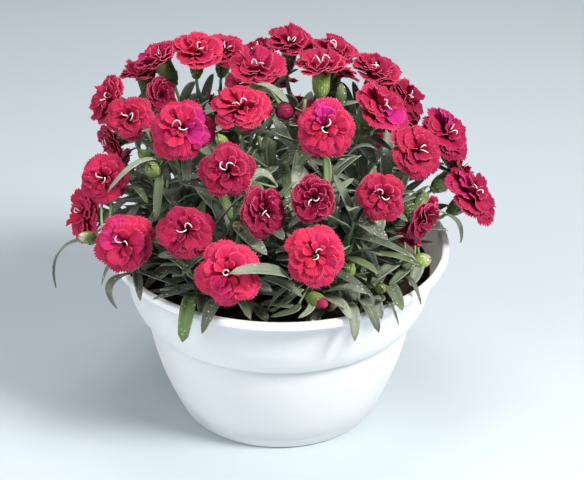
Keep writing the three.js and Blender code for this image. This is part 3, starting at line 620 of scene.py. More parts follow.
def three_point_line(root: Point, over: Point, tip: Point) -> Callable:
    """The middle line of a leaf through three points.

    Args:
        root: Where it starts.
        over: What it passes.
        tip: Where it ends.

    Returns:
        A function from the share of the length to a point and a direction.
    """
    first = np.linalg.norm(root - over)
    mid = first / (first + np.linalg.norm(over - tip))

    def line(s: float) -> tuple[Point, Point]:
        """The point and direction at s."""
        a = (s - mid) * (s - 1) / mid
        b = s * (s - 1) / (mid * (mid - 1))
        c = s * (s - mid) / (1 - mid)
        da = (2 * s - 1 - mid) / mid
        db = (2 * s - 1) / (mid * (mid - 1))
        dc = (2 * s - mid) / (1 - mid)
        return root * a + over * b + tip * c, unit(root * da + over * db + tip * dc)

    return line


@dataclass
class Bowl:
    """The moulded bowl: radius and height along its outside and inside."""

    base: tuple = ((74.4, 0), (77, 3))
    lower_wall: tuple = ((77, 3), (86.3, 24), (94.4, 48), (101.4, 84.6))
    upper_wall: tuple = ((104.9, 85.8), (112.3, 99), (119.9, 128), (122.8, 133.4))
    lip: tuple = ((127, 134), (127, 139))
    inside: tuple = (
        (122.1, 139), (114.6, 118), (109.8, 100), (101.4, 87), (98.8, 80), (92.3, 50),
        (80, 12), (74, 4),
    )
    rim_radius: float = 127
    rim_height: float = 139
    steps: int = 128
    wall_rings: int = 9
    edge_radius: float = 0.9
    drain_circle: float = 45
    drain_radius: float = 5
    drain_count: int = 4
    soiled_above: float = 100
    soiled_margin: float = 0.6

    def inside_radius(self, height: float) -> float:
        """The radius of the inside wall at a height.

        Args:
            height: The height in millimetres.

        Returns:
            The radius, or 0 below the floor.
        """
        for (upper_radius, upper), (lower_radius, lower) in zip(self.inside, self.inside[1:]):
            if height >= lower:
                share = (height - lower) / (upper - lower)
                return lower_radius + (upper_radius - lower_radius) * share
        return 0.0

    def build(self, outer: "BowlFinish", inner: "BowlFinish") -> Piece:
        """Spins the wall, rounds its edges and cuts the drain holes.

        Args:
            outer: The finish of the outside and the lip.
            inner: The finish of the inside wall.

        Returns:
            The finished bowl.
        """
        clay = Clay()
        lower, upper = (rounded(wall, self.wall_rings) for wall in (self.lower_wall, self.upper_wall))
        profile = [(0, 0), (self.drain_circle, 0), *self.base[:1], *lower, *upper, *self.lip, *self.inside]
        profile += [(self.drain_circle, self.inside[-1][1]), (0, self.inside[-1][1])]
        rings = clay.spin(profile, self.steps)
        corners = {*self.base, lower[-1], upper[0], *self.lip, *self.inside}
        sharp = [edge for corner, ring in zip(profile, rings) if corner in corners for edge in ring]
        bmesh.ops.bevel(
            clay.mesh, geom=sharp, offset=self.edge_radius, offset_type="OFFSET", segments=3,
            profile=0.5, affect="EDGES", clamp_overlap=True, material=-1,
        )
        for face in clay.mesh.faces:
            middle = face.calc_center_median()
            reach = math.hypot(middle.x, middle.y)
            wall = self.inside_radius(min(middle.z, self.rim_height)) + self.soiled_margin
            if reach < wall and middle.z > self.soiled_above:
                face.material_index = 1
        bowl = clay.finish("bowl_shell", [outer, inner], Slot.BOWL, ["bowl"])
        self.drill(bowl)
        return bowl

    def drill(self, bowl: Piece) -> None:
        """Cuts the four drain holes through the floor of the bowl.

        Args:
            bowl: The bowl.
        """
        clay = Clay()
        for k in range(self.drain_count):
            angle = 2 * math.pi * (k + 0.5) / self.drain_count
            across = (self.drain_circle * math.cos(angle), self.drain_circle * math.sin(angle), 0)
            bmesh.ops.create_cone(
                clay.mesh, cap_ends=True, segments=32, radius1=self.drain_radius,
                radius2=self.drain_radius, depth=20, matrix=Matrix.Translation(across),
            )
        cutter = clay.to_object("drain_cutter")
        cut = bowl.modifiers.new("drains", "BOOLEAN")
        cut.object = cutter
        cut.solver = "EXACT"
        shape = bpy.data.meshes.new_from_object(bowl.evaluated_get(bpy.context.evaluated_depsgraph_get()))
        bowl.modifiers.clear()
        bowl.data = shape
        bpy.data.objects.remove(cutter)


class Growth:
    """Where every stem, bud and leaf of the seven plants is."""

    def __init__(self, habit: Habit, bowl: Bowl) -> None:
        """Sets the crowns and the flowers, which everything else keeps clear of.

        Args:
            habit: The sizes that the plants grow to.
            bowl: What they stand in.
        """
        self.habit = habit
        self.bowl = bowl
        self.ranges = Ranges()
        ring = [heading(60 * k + 30, 0) * habit.crown_circle for k in range(6)]
        self.crowns = [np.zeros(3), *ring]
        self.stalks = [self.stalk(seat, habit.calyx_length) for seat in SEATS]
        self.hearts = np.array([stalk.heart for stalk in self.stalks])
        self.axes = np.array([stalk.axis for stalk in self.stalks])
        self.spans = np.array([seat.span for seat in SEATS])
        self.room = ROOM
        self.stems: list[Stem] = []
        self.shoots: list[Stem] = []
        self.middles = np.zeros((0, 3))
        self.blades: list[Blade] = []
        self.buds: list[tuple[int, Bud, Stalk, Handles]] = []

    @staticmethod
    def stalk(entry: Seat | Bud, length: float) -> Stalk:
        """The end of a stem that carries a flower, whose heart is at the entry's place.

        Args:
            entry: The flower or bud.
            length: Its length down to its foot.

        Returns:
            The stem's end.
        """
        axis = heading(entry.turn, entry.tilt)
        heart = np.array([entry.x, entry.y, entry.z], float)
        return Stalk(heart, axis, heart - axis * length, length)

    def clump_at(self, point: Point) -> int:
        """The clump whose crown is nearest in plan."""
        return int(np.argmin([math.hypot(*(point - crown)[:2]) for crown in self.crowns]))

    def ground_margin(self, points: Point, clump: int) -> Point:
        """How far points lie inside the ground of a clump, in plan.

        Args:
            points: The points.
            clump: The clump's number, from 0.

        Returns:
            The distance from the border, below 0 outside it.
        """
        home = self.crowns[clump]
        own = ((points - home)[:, :2] ** 2).sum(1)
        margins = [
            (((points - crown)[:, :2] ** 2).sum(1) - own) / (2 * math.hypot(*(crown - home)[:2]))
            for k, crown in enumerate(self.crowns) if k != clump
        ]
        return np.min(margins, axis=0)

    @staticmethod
    def near_other(near: Point, own: int) -> Point:
        """Which rows of a table of points by flowers hold true for a flower that isn't their own."""
        others = np.arange(near.shape[1]) != own
        return (near & others).any(1)

    def near_flower(self, points: Point, own: int) -> Point:
        """Which points are in the space kept for a flower other than their own.

        Args:
            points: The points.
            own: The flower that doesn't count, or -1.

        Returns:
            True for each such point.
        """
        offset = points[:, None] - (self.hearts + self.axes * self.room.flower_lift)[None]
        rise = (offset * self.axes[None]).sum(2)
        radial = np.sqrt(np.maximum((offset**2).sum(2) - rise**2, 0))
        reach = self.spans[None] / 2 + self.room.flower
        return self.near_other(np.hypot(radial / reach, rise / self.room.flower_depth) < 1, own)

    def near_calyx(self, points: Point, own: int) -> Point:
        """Which points are against the calyx of a flower other than their own.

        Args:
            points: The points.
            own: The flower that doesn't count, or -1.

        Returns:
            True for each such point.
        """
        offset = points[:, None] - self.hearts[None]
        depth = np.clip(-(offset * self.axes[None]).sum(2), 0, self.habit.calyx_length)
        gap = np.linalg.norm(offset + self.axes[None] * depth[:, :, None], axis=2)
        return self.near_other(gap < self.room.calyx, own)

    def near_stem(self, points: Point, clump: int, own: int) -> Point:
        """Which points are against a stem of their clump other than their own.

        Args:
            points: The points.
            clump: The clump's number, from 0.
            own: The flower that doesn't count, or -1.

        Returns:
            True for each such point.
        """
        others = [stem for stem in self.stems if stem.clump == clump and stem.flower != own]
        places = [place for stem in others for place, _ in stem.path]
        if not places:
            return np.zeros(len(points), bool)
        gaps = np.linalg.norm(points[:, None] - np.array(places)[None], axis=2)
        return (gaps < self.room.stem).any(1)

    def in_pot(self, points: Point) -> Point:
        """Which points are in the soil, in the bowl's wall or too close above its rim.

        Args:
            points: The points.

        Returns:
            True for each such point.
        """
        bowl = self.bowl
        radius = np.hypot(points[:, 0], points[:, 1])
        wall = np.array([bowl.inside_radius(min(z, bowl.rim_height)) for z in points[:, 2]])
        in_soil = (radius < bowl.rim_radius) & (points[:, 2] < self.habit.soil_reach)
        margin = self.room.wall
        past = (radius > wall - margin) & (radius < bowl.rim_radius + margin)
        return in_soil | (past & (points[:, 2] < bowl.rim_height + margin))

    def is_free(self, points: Point, clump: int, own: int) -> bool:
        """Whether a leaf may pass all of some points.

        Args:
            points: The points.
            clump: The clump's number, from 0.
            own: The flower that doesn't count, or -1.

        Returns:
            True if it may.
        """
        x, y, z = self.habit.dome
        rise = np.maximum(points[:, 2] - self.habit.dome_height, 0)
        reach = np.sqrt((points[:, 0] / x) ** 2 + (points[:, 1] / y) ** 2 + (rise / z) ** 2)
        if (reach >= 1).any() or (self.ground_margin(points, clump) <= self.room.ground).any():
            return False
        blocked = self.in_pot(points) | self.near_flower(points, own)
        return not (blocked | self.near_calyx(points, own) | self.near_stem(points, clump, own)).any()

    def stem_feet(self, clump: int, ends: list[Point]) -> list[Point]:
        """The feet of a clump's stems: evenly round the crown, in the order that they lean.

        Args:
            clump: The clump's number, from 0.
            ends: Where its stems lead.

        Returns:
            A foot for each end.
        """
        centre = self.crowns[clump] + UP * self.habit.foot_height
        bearings = [math.atan2(*(end - centre)[1::-1]) for end in ends]
        order = sorted(range(len(ends)), key=lambda k: bearings[k])
        pitch = 2 * math.pi / len(ends)
        sine = sum(math.sin(bearings[k] - pitch * rank) for rank, k in enumerate(order))
        cosine = sum(math.cos(bearings[k] - pitch * rank) for rank, k in enumerate(order))
        start = math.atan2(sine, cosine)
        feet = [centre] * len(ends)
        for rank, k in enumerate(order):
            angle = start + pitch * rank
            feet[k] = centre + np.array([math.cos(angle), math.sin(angle), 0]) * self.habit.stem_spread
        return feet

    def clear_stem(self, start: Point, rise: Point, end: Point, axis: Point, seed: int, own: int) -> Handles:
        """The first of a few sways of a stem that passes every other flower, or the clearest.

        Args:
            start: Where it starts.
            rise: The unit way that it starts.
            end: Where it ends.
            axis: The unit way that it ends.
            seed: The seed of its sways.
            own: The flower that it may touch, or -1.

        Returns:
            The handles of its curve.
        """
        habit, dice, clump = self.habit, Dice(seed), self.clump_at(start)
        best: tuple[int, Handles] | None = None
        gap = float(np.linalg.norm(start - end))
        for attempt in range(habit.stem_tries):
            sway = 0.0 if attempt == 0 else habit.sway * gap
            lower = start + rise * (habit.lower_handle * gap)
            lower = lower + np.array([dice.swing(sway), dice.swing(sway), 0])
            upper = end - axis * (habit.upper_handle * gap)
            upper = upper + np.array([dice.swing(0.5 * sway), dice.swing(0.5 * sway), 0])
            curve = (start, lower, upper, end)
            checks = range(2, habit.stem_checks)
            points = np.array([bend(curve, step / habit.stem_checks)[0] for step in checks])
            off = self.ground_margin(points, clump) < self.room.ground
            blocked = int((off | self.near_flower(points, own) | self.near_calyx(points, own)).sum())
            if best is None or blocked < best[0]:
                best = (blocked, curve)
            if blocked == 0:
                break
        return best[1]

    def stem_path(self, curve: Handles) -> Path:
        """Places, and the way there, along the straight runs from joint to joint.

        Args:
            curve: The stem's curve.

        Returns:
            Each place and the unit way there.
        """
        corners = [bend(curve, t)[0] for t in (0, *self.habit.joints, 1)]
        path = []
        for last, corner in zip(corners, corners[1:]):
            direction = unit(corner - last)
            for step in range(self.habit.path_steps):
                share = (step + 1) / self.habit.path_steps
                path.append((last + (corner - last) * share, direction))
        return path

    def twig_curve(self, end: Point, axis: Point, seed: int) -> Handles:
        """The curve of a twig from the nearest stem to a point, travelling along an axis.

        Args:
            end: Where it ends.
            axis: The unit way that it ends.
            seed: Where its draws start.

        Returns:
            The handles of its curve.
        """
        clump = self.clump_at(end)
        best = (self.crowns[clump] + UP * self.habit.foot_height, UP)
        for stem in self.stems:
            if stem.clump == clump:
                for place in stem.path:
                    if np.linalg.norm(place[0] - end) < np.linalg.norm(best[0] - end):
                        best = place
        rise = unit(unit(end - best[0]) + best[1])
        return self.clear_stem(best[0], rise, end, axis, seed, -1)

    @staticmethod
    def middle_line(line: Callable) -> Point:
        """Points along the free part of a leaf's middle line."""
        return np.array([line(s)[0] for s in (0.3, 0.45, 0.6, 0.75, 0.9, 1)])

    @staticmethod
    def corners(line: Callable, width: float) -> Point:
        """The edges and keel of a leaf at a few stations, and its tip.

        Args:
            line: The leaf's middle line.
            width: Its width.

        Returns:
            The points.
        """
        points = []
        for s in (0.2, 0.34, 0.54, 0.74, 0.9):
            point, direction = line(s)
            side = unit(np.cross(direction, UP))
            normal = np.cross(side, direction)
            half = 0.5 * width * leaf_width(s)
            edge = point + normal * (0.24 * half)
            points += [edge + side * half, point - normal * 1.3, edge - side * half]
        return np.array([*points, line(1)[0]])

    def place_leaf(
        self, clump: int, place: tuple[Point, Point], whorl: Whorl, side_turn: float, seed: int, own: int
    ) -> Blade | None:
        """A leaf that leaves a place on a stem or crown, bent until it is clear.

        Args:
            clump: The clump that it grows in.
            place: The point that it leaves and the way of the stem there.
            whorl: How far out it roots, its lengths, spacing and tries.
            side_turn: The side that it grows on, in radians round the stem.
            seed: The seed of its bends.
            own: The flower whose stem it grows on, or -1.

        Returns:
            The leaf, or None where no bend is clear.
        """
        dice, ranges = Dice(seed), self.ranges
        point, direction = place
        u, v = square_to(direction)
        for attempt in range(whorl.tries):
            turn = side_turn + dice.swing(ranges.swing)
            spread = math.radians(dice.between(*ranges.spread))
            length = dice.between(*whorl.lengths) * (1 - 0.03 * attempt)
            width = dice.between(*ranges.width)
            droop = dice.between(*ranges.droop)
            outward = spoke(u, v, turn)
            aim = direction * math.cos(spread) + outward * math.sin(spread)
            if abs(aim[2]) >= self.habit.steepest_leaf:
                continue
            line = drooping_line(point + outward * whorl.out, aim, length, droop)
            middles = self.middle_line(line)
            gaps = np.linalg.norm(middles[:, None] - self.middles[None], axis=2)
            if (gaps > whorl.spacing).all() and self.is_free(self.corners(line, width), clump, own):
                fresh, dry = 0.9 * dice.roll() ** 4, float(dice.roll() > 1 - self.habit.dry_share)
                return Blade(clump, line, width, fresh, dry, None, dice.swing(0.5))
        return None

    def keep(self, blade: Blade | None) -> None:
        """Adds a leaf, if there is one.

        Args:
            blade: The leaf, or None.
        """
        if blade is not None:
            self.blades.append(blade)
            self.middles = np.vstack([self.middles, self.middle_line(blade.line)])

    @staticmethod
    def in_clearing(blade: Blade) -> bool:
        """Whether a leaf that isn't given in a list reaches into a clearing.

        Args:
            blade: The leaf.

        Returns:
            True if it does.
        """
        points = np.array([blade.line(s)[0] for s in np.linspace(0, 1, 9)])
        gaps = [np.linalg.norm(points - np.array(c[:3]), axis=1).min() - c[3] for c in CLEARINGS]
        return not blade.kept and min(gaps) < 0

    def grow_stems(self, clump: int) -> None:
        """Grows a clump's flower stems from its crown.

        Args:
            clump: The clump's number, from 0.
        """
        members = [k for k, stalk in enumerate(self.stalks) if self.clump_at(stalk.foot) == clump]
        feet = self.stem_feet(clump, [self.stalks[k].foot for k in members])
        for foot, k in zip(feet, members):
            stalk = self.stalks[k]
            curve = self.clear_stem(foot, UP, stalk.foot, stalk.axis, Draw.STEM.seed(k), k)
            self.stems.append(Stem(clump, k, curve, self.stem_path(curve)))

    def grow_bud(self, bud: Bud, k: int) -> None:
        """Grows a bud on a twig.

        Args:
            bud: The bud.
            k: Its number, from 0.
        """
        axis = heading(bud.turn, bud.tilt)
        foot = np.array([bud.x, bud.y, bud.z], float)
        stalk = Stalk(foot + axis * bud.length, axis, foot, bud.length)
        curve = self.twig_curve(foot, axis, Draw.BUD_TWIG.seed(k))
        self.buds.append((self.clump_at(foot), bud, stalk, curve))
        self.middles = np.vstack([self.middles, foot, stalk.heart])

    def grow_long_leaf(self, leaf: LongLeaf, seed: int) -> None:
        """Grows a long leaf on a twig.

        Args:
            leaf: The leaf.
            seed: Where its draws start.
        """
        root, over, tip = (np.array(p, float) for p in (leaf.root, leaf.over, leaf.tip))
        line = three_point_line(root, over, tip)
        twig = self.twig_curve(root, line(0)[1], seed)
        look = (leaf.width, leaf.fresh, 0.0, twig, 0.0, leaf.blunt, leaf.roll, not leaf.loose)
        self.keep(Blade(self.clump_at(root), line, *look))

    def rim_leaves(self, rim: RimLeaves) -> list[LongLeaf]:
        """The leaves that hang over the rim at the back.

        Args:
            rim: How many there are and where.

        Returns:
            The leaves.
        """
        dice, leaves = Dice(Draw.RIM_LEAVES.seed()), []
        for k in range(rim.count):
            turn = rim.start + (rim.end - rim.start) * k / (rim.count - 1)
            out = heading(turn, 0)
            aside = heading(turn + dice.swing(rim.swing), 0)
            tip_height = dice.between(*rim.tip_height)
            root, over = (tuple(out[:2] * radius) + (height,) for radius, height in (rim.root, rim.over))
            tip = tuple(aside[:2] * rim.tip_radius) + (tip_height,)
            leaves.append(LongLeaf(root, over, tip, dice.between(*rim.width), loose=True))
        return leaves

    def grow_whorls(self, stems: list[Stem], joints: tuple[float, ...], whorl: Whorl, seed: int) -> None:
        """Grows opposite pairs at the joints of some stems, each a quarter from the last.

        Args:
            stems: The stems.
            joints: Shares of their length.
            whorl: How the leaves stand.
            seed: Where its draws start.
        """
        for k, stem in enumerate(stems):
            home = seed + 40 * (stem.flower if stem.flower >= 0 else k)
            for order, t in enumerate(joints):
                place = bend(stem.curve, t)
                for side in (0, 1):
                    turn = math.pi * (0.5 * order + side)
                    leaf_seed = home + 10 * order + side
                    self.keep(self.place_leaf(stem.clump, place, whorl, turn, leaf_seed, stem.flower))

    def grow_basal(self, count: int, whorl: Whorl, seed: int) -> None:
        """Grows basal leaves all round every crown.

        Args:
            count: How many for each crown.
            whorl: How they stand.
            seed: Where its draws start.
        """
        for clump, crown in enumerate(self.crowns):
            place = (crown + UP * (self.habit.crown_height - CROWN_LEAF_DEPTH), UP)
            for k in range(count):
                turn = 2 * math.pi * k / count
                self.keep(self.place_leaf(clump, place, whorl, turn, seed + 20 * clump + k, -1))

    def dome_height(self, x: float, y: float) -> float:
        """The height of the dome's surface over a place."""
        wide, deep, tall = self.habit.dome
        return self.habit.dome_height + tall * math.sqrt(max(1 - (x / wide) ** 2 - (y / deep) ** 2, 0))

    def grow_shoot(self, clump: int, turn: float, end: Point, seed: int) -> None:
        """Grows the bare stem of a leafy shoot from a crown to a place.

        Args:
            clump: The clump's number, from 0.
            turn: Its bearing, in radians.
            end: The place.
            seed: Where its draws start.
        """
        crown = self.crowns[clump]
        foot = crown + UP * self.habit.foot_height
        foot = foot + np.array([math.cos(turn), math.sin(turn), 0]) * (1.15 * self.habit.stem_spread)
        axis = unit(end - crown - UP * (self.habit.foot_height - 40))
        curve = self.clear_stem(foot, UP, end, axis, seed, -1)
        self.shoots.append(Stem(clump, -1, curve, []))

    def grow_high_shoots(self, shoots: Shoots) -> None:
        """Grows the shoots that fill the dome, each ending clear of the flowers.

        Args:
            shoots: How many there are and where.
        """
        for clump, crown in enumerate(self.crowns):
            for k in range(shoots.per_crown):
                dice = Dice(Draw.HIGH_SHOOT.seed(50 * clump + k))
                turn = 2 * math.pi * (k + 0.6 * dice.roll()) / shoots.per_crown
                out = dice.between(*shoots.spread)
                x, y = crown[0] + out * math.cos(turn), crown[1] + out * math.sin(turn)
                share = dice.between(*shoots.rise)
                base = self.habit.foot_height
                for _ in range(5):
                    end = np.array([x, y, base + share * (self.dome_height(x, y) - base)])
                    if not self.near_flower(end[None], -1)[0]:
                        break
                    share *= 0.88
                self.grow_shoot(clump, turn, end, Draw.HIGH_SHOOT_STEM.seed(50 * clump + k))

    def grow_low_shoots(self, shoots: Shoots) -> None:
        """Grows the shoots that end near the rim.

        Args:
            shoots: How many there are and where.
        """
        count = int(360 / shoots.low_pitch)
        for k in range(count):
            dice = Dice(Draw.LOW_SHOOT.seed(k))
            bearing = 360 * k / count + dice.swing(0.3 * shoots.low_pitch)
            if shoots.low_gap[0] < bearing < shoots.low_gap[1]:
                continue
            end = heading(bearing, 0) * dice.between(*shoots.low_radius)
            end = end + UP * dice.between(*shoots.low_height)
            clump = self.clump_at(end)
            turn = math.atan2(*(end - self.crowns[clump])[1::-1])
            self.grow_shoot(clump, turn, end, Draw.LOW_SHOOT_STEM.seed(k))

    def grow(self) -> None:
        """Grows the seven plants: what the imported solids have, then the finer leaves."""
        for clump in range(len(self.crowns)):
            self.grow_stems(clump)
        for k, bud in enumerate(BUDS):
            self.grow_bud(bud, k)
        for k, leaf in enumerate(LONG_LEAVES + self.rim_leaves(RimLeaves())):
            self.grow_long_leaf(leaf, Draw.LONG_LEAF.seed(k))
        self.grow_whorls(self.stems, self.habit.joints, STEM_WHORL, Draw.STEM_LEAVES.seed())
        self.grow_basal(CROWN_LEAVES, CROWN_WHORL, Draw.CROWN_LEAVES.seed())
        LOG.info("leaves that the solids have: %d", len(self.blades))
        self.room, shoots = TIGHT, Shoots()
        for k, leaf in enumerate(FINE_LONG_LEAVES):
            self.grow_long_leaf(leaf, Draw.FINE_LONG_LEAF.seed(k))
        self.grow_high_shoots(shoots)
        high = len(self.shoots)
        self.grow_low_shoots(shoots)
        self.grow_whorls(self.shoots[high:], shoots.low_joints, SHOOT_WHORL, Draw.LOW_SHOOT_LEAVES.seed())
        self.grow_whorls(self.shoots[:high], shoots.joints, SHOOT_WHORL, Draw.HIGH_SHOOT_LEAVES.seed())
        self.grow_basal(FINE_CROWN_LEAVES, FINE_CROWN_WHORL, Draw.FINE_CROWN_LEAVES.seed())
        self.grow_whorls(self.stems, FINE_JOINTS, FINE_STEM_WHORL, Draw.FINE_STEM_LEAVES.seed())
        self.blades = [blade for blade in self.blades if not self.in_clearing(blade)]
        LOG.info("leaves in all: %d", len(self.blades))


# ---- mesh making


class Clay:
    """A mesh in the making, in millimetres, with a UV map and a colour wash."""

    def __init__(self) -> None:
        """Starts empty."""
        self.mesh = bmesh.new()
        self.uv = self.mesh.loops.layers.uv.new("UVMap")
        self.wash = self.mesh.verts.layers.float_color.new("wash")

    def sheet(
        self, across: int, along: int, place: Place, wash: Wash | None = None, material: int = 0
    ) -> list:
        """Adds a grid whose points a rule puts in place.

        Args:
            across: The number of columns.
            along: The number of rows.
            place: A rule from -1 to 1 across and 0 to 1 along to a point.
            wash: A rule from the same two numbers to a colour wash.
            material: The finish's number.

        Returns:
            The new vertices.
        """
        made = bmesh.ops.create_grid(self.mesh, x_segments=across, y_segments=along, size=1.0, calc_uvs=True)
        for vertex in made["verts"]:
            a, s = vertex.co.x, 0.5 * (vertex.co.y + 1)
            if wash is not None:
                vertex[self.wash] = (*wash(a, s), 1.0)
            vertex.co = Vector(place(a, s))
        if material:
            for face in {face for vertex in made["verts"] for face in vertex.link_faces}:
                face.material_index = material
        return made["verts"]

    def close_seam(self, made: list) -> None:
        """Joins the edges of a sheet that meets itself."""
        seam = [vertex for vertex in made if vertex.is_boundary]
        bmesh.ops.remove_doubles(self.mesh, verts=seam, dist=MERGE_GAP)

    def tube(
        self, sides: int, stations: Path, radius: Callable[[float], float],
        wash: Wash | None = None, material: int = 0,
    ) -> list:
        """Adds a closed tube through some stations.

        Args:
            sides: The number of sides.
            stations: The points, and the unit way at each.
            radius: A rule from the share of the length to the radius.
            wash: A rule for its colour wash.
            material: The finish's number.

        Returns:
            The vertices that are left once the seam is joined.
        """
        u = square_to(stations[0][1])[0]
        frames = []
        for point, direction in stations:
            u = unit(u - direction * (u @ direction))
            frames.append((point, u, np.cross(direction, u)))

        def place(a: float, s: float) -> Point:
            """The tube's surface."""
            point, side, up = frames[round(s * (len(frames) - 1))]
            angle = math.pi * a
            return point + spoke(side, up, angle) * radius(s)

        made = self.sheet(sides, len(stations) - 1, place, wash, material)
        self.close_seam(made)
        left = [vertex for vertex in made if vertex.is_valid]
        ends = [edge for edge in {e for v in left for e in v.link_edges} if edge.is_boundary]
        caps = bmesh.ops.holes_fill(self.mesh, edges=ends, sides=0)["faces"]
        for face in caps:
            face.material_index = material
        return left

    def spin(self, profile: list[tuple[float, float]], steps: int) -> list[list]:
        """Adds a body turned from a profile that starts and ends on the axis.

        Args:
            profile: Radius and height of each corner.
            steps: The number of steps round.

        Returns:
            For each corner, the edges of its ring.
        """
        corners = [self.mesh.verts.new((radius, 0, height)) for radius, height in profile]
        edges = [self.mesh.edges.new(pair) for pair in zip(corners, corners[1:])]
        bmesh.ops.spin(
            self.mesh, geom=corners + edges, axis=(0, 0, 1), cent=(0, 0, 0), steps=steps,
            angle=2 * math.pi, use_merge=True,
        )
        bmesh.ops.remove_doubles(self.mesh, verts=self.mesh.verts, dist=MERGE_GAP)
        bmesh.ops.recalc_face_normals(self.mesh, faces=self.mesh.faces)
        rings: list[list] = [[] for _ in profile]
        for edge in self.mesh.edges:
            a, b = edge.verts
            if abs(a.co.z - b.co.z) < 1e-4 and abs(math.hypot(*a.co.xy) - math.hypot(*b.co.xy)) < 1e-3:
                for k, (radius, height) in enumerate(profile):
                    if abs(a.co.z - height) < 1e-3 and abs(math.hypot(*a.co.xy) - radius) < 1e-2:
                        rings[k].append(edge)
        return rings

    def to_object(self, name: str) -> Piece:
        """Turns the mesh into metres and an object in the scene.

        Args:
            name: Its name.

        Returns:
            The object.
        """
        for face in self.mesh.faces:
            face.smooth = True
        shape = bpy.data.meshes.new(name)
        self.mesh.to_mesh(shape)
        self.mesh.free()
        shape.transform(Matrix.Scale(MM, 4))
        piece = bpy.data.objects.new(name, shape)
        bpy.context.scene.collection.objects.link(piece)
        return piece

    def finish(
        self, name: str, finishes: list, slot: Slot, replaced: list[str], wall: float = 0.0, back: int = 0
    ) -> Piece:
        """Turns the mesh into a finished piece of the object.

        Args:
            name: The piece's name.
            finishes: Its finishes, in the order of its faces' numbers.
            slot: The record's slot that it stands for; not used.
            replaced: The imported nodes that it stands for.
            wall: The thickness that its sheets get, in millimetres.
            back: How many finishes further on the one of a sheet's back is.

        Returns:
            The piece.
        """
        piece = self.to_object(name)
        for finish in finishes:
            piece.data.materials.append(finish.material())
        if wall:
            solid = piece.modifiers.new("wall", "SOLIDIFY")
            solid.thickness = wall * MM
            solid.offset = 0
            solid.use_rim = True
            solid.material_offset = back
        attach(piece, "root")
        if replaced:
            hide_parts(*replaced)
        return piece


def along_curve(curve: Handles, count: int) -> Path:
    """Stations evenly along a curve."""
    return [bend(curve, k / (count - 1)) for k in range(count)]


# ---- flowers


@dataclass(frozen=True)
class Tier:
    """One round of petals, in shares of the flower's radius.

    Lift is the height of the margin and bow the reach and height that the middle line
    bends by. Fan is the petal's half angle in degrees. Lobe is how far the margin falls
    back at its corners, wave the height of its broad waves and fold that of its sides
    above its middle. Twist is how far it may turn on its own middle line, in radians.
    """

    petals: int
    reach: float
    lift: float
    bow: tuple[float, float]
    fan: float
    lobe: float
    wave: float
    fold: float
    twist: float
    columns: int
    rows: int


TIERS = (
    Tier(5, 1.02, -0.08, (0.52, 0.14), 38, 0.22, 0.035, 0.03, 0.12, 28, 3),
    Tier(5, 0.95, 0.03, (0.46, 0.2), 38, 0.22, 0.045, 0.04, 0.18, 28, 3),
    Tier(5, 0.87, 0.13, (0.38, 0.24), 38, 0.24, 0.055, 0.06, 0.26, 28, 4),
    Tier(4, 0.75, 0.23, (0.26, 0.27), 42, 0.26, 0.065, 0.1, 0.42, 28, 5),
    Tier(5, 0.45, 0.3, (0.09, 0.26), 32, 0.22, 0.06, 0.2, 0.8, 12, 4),
)


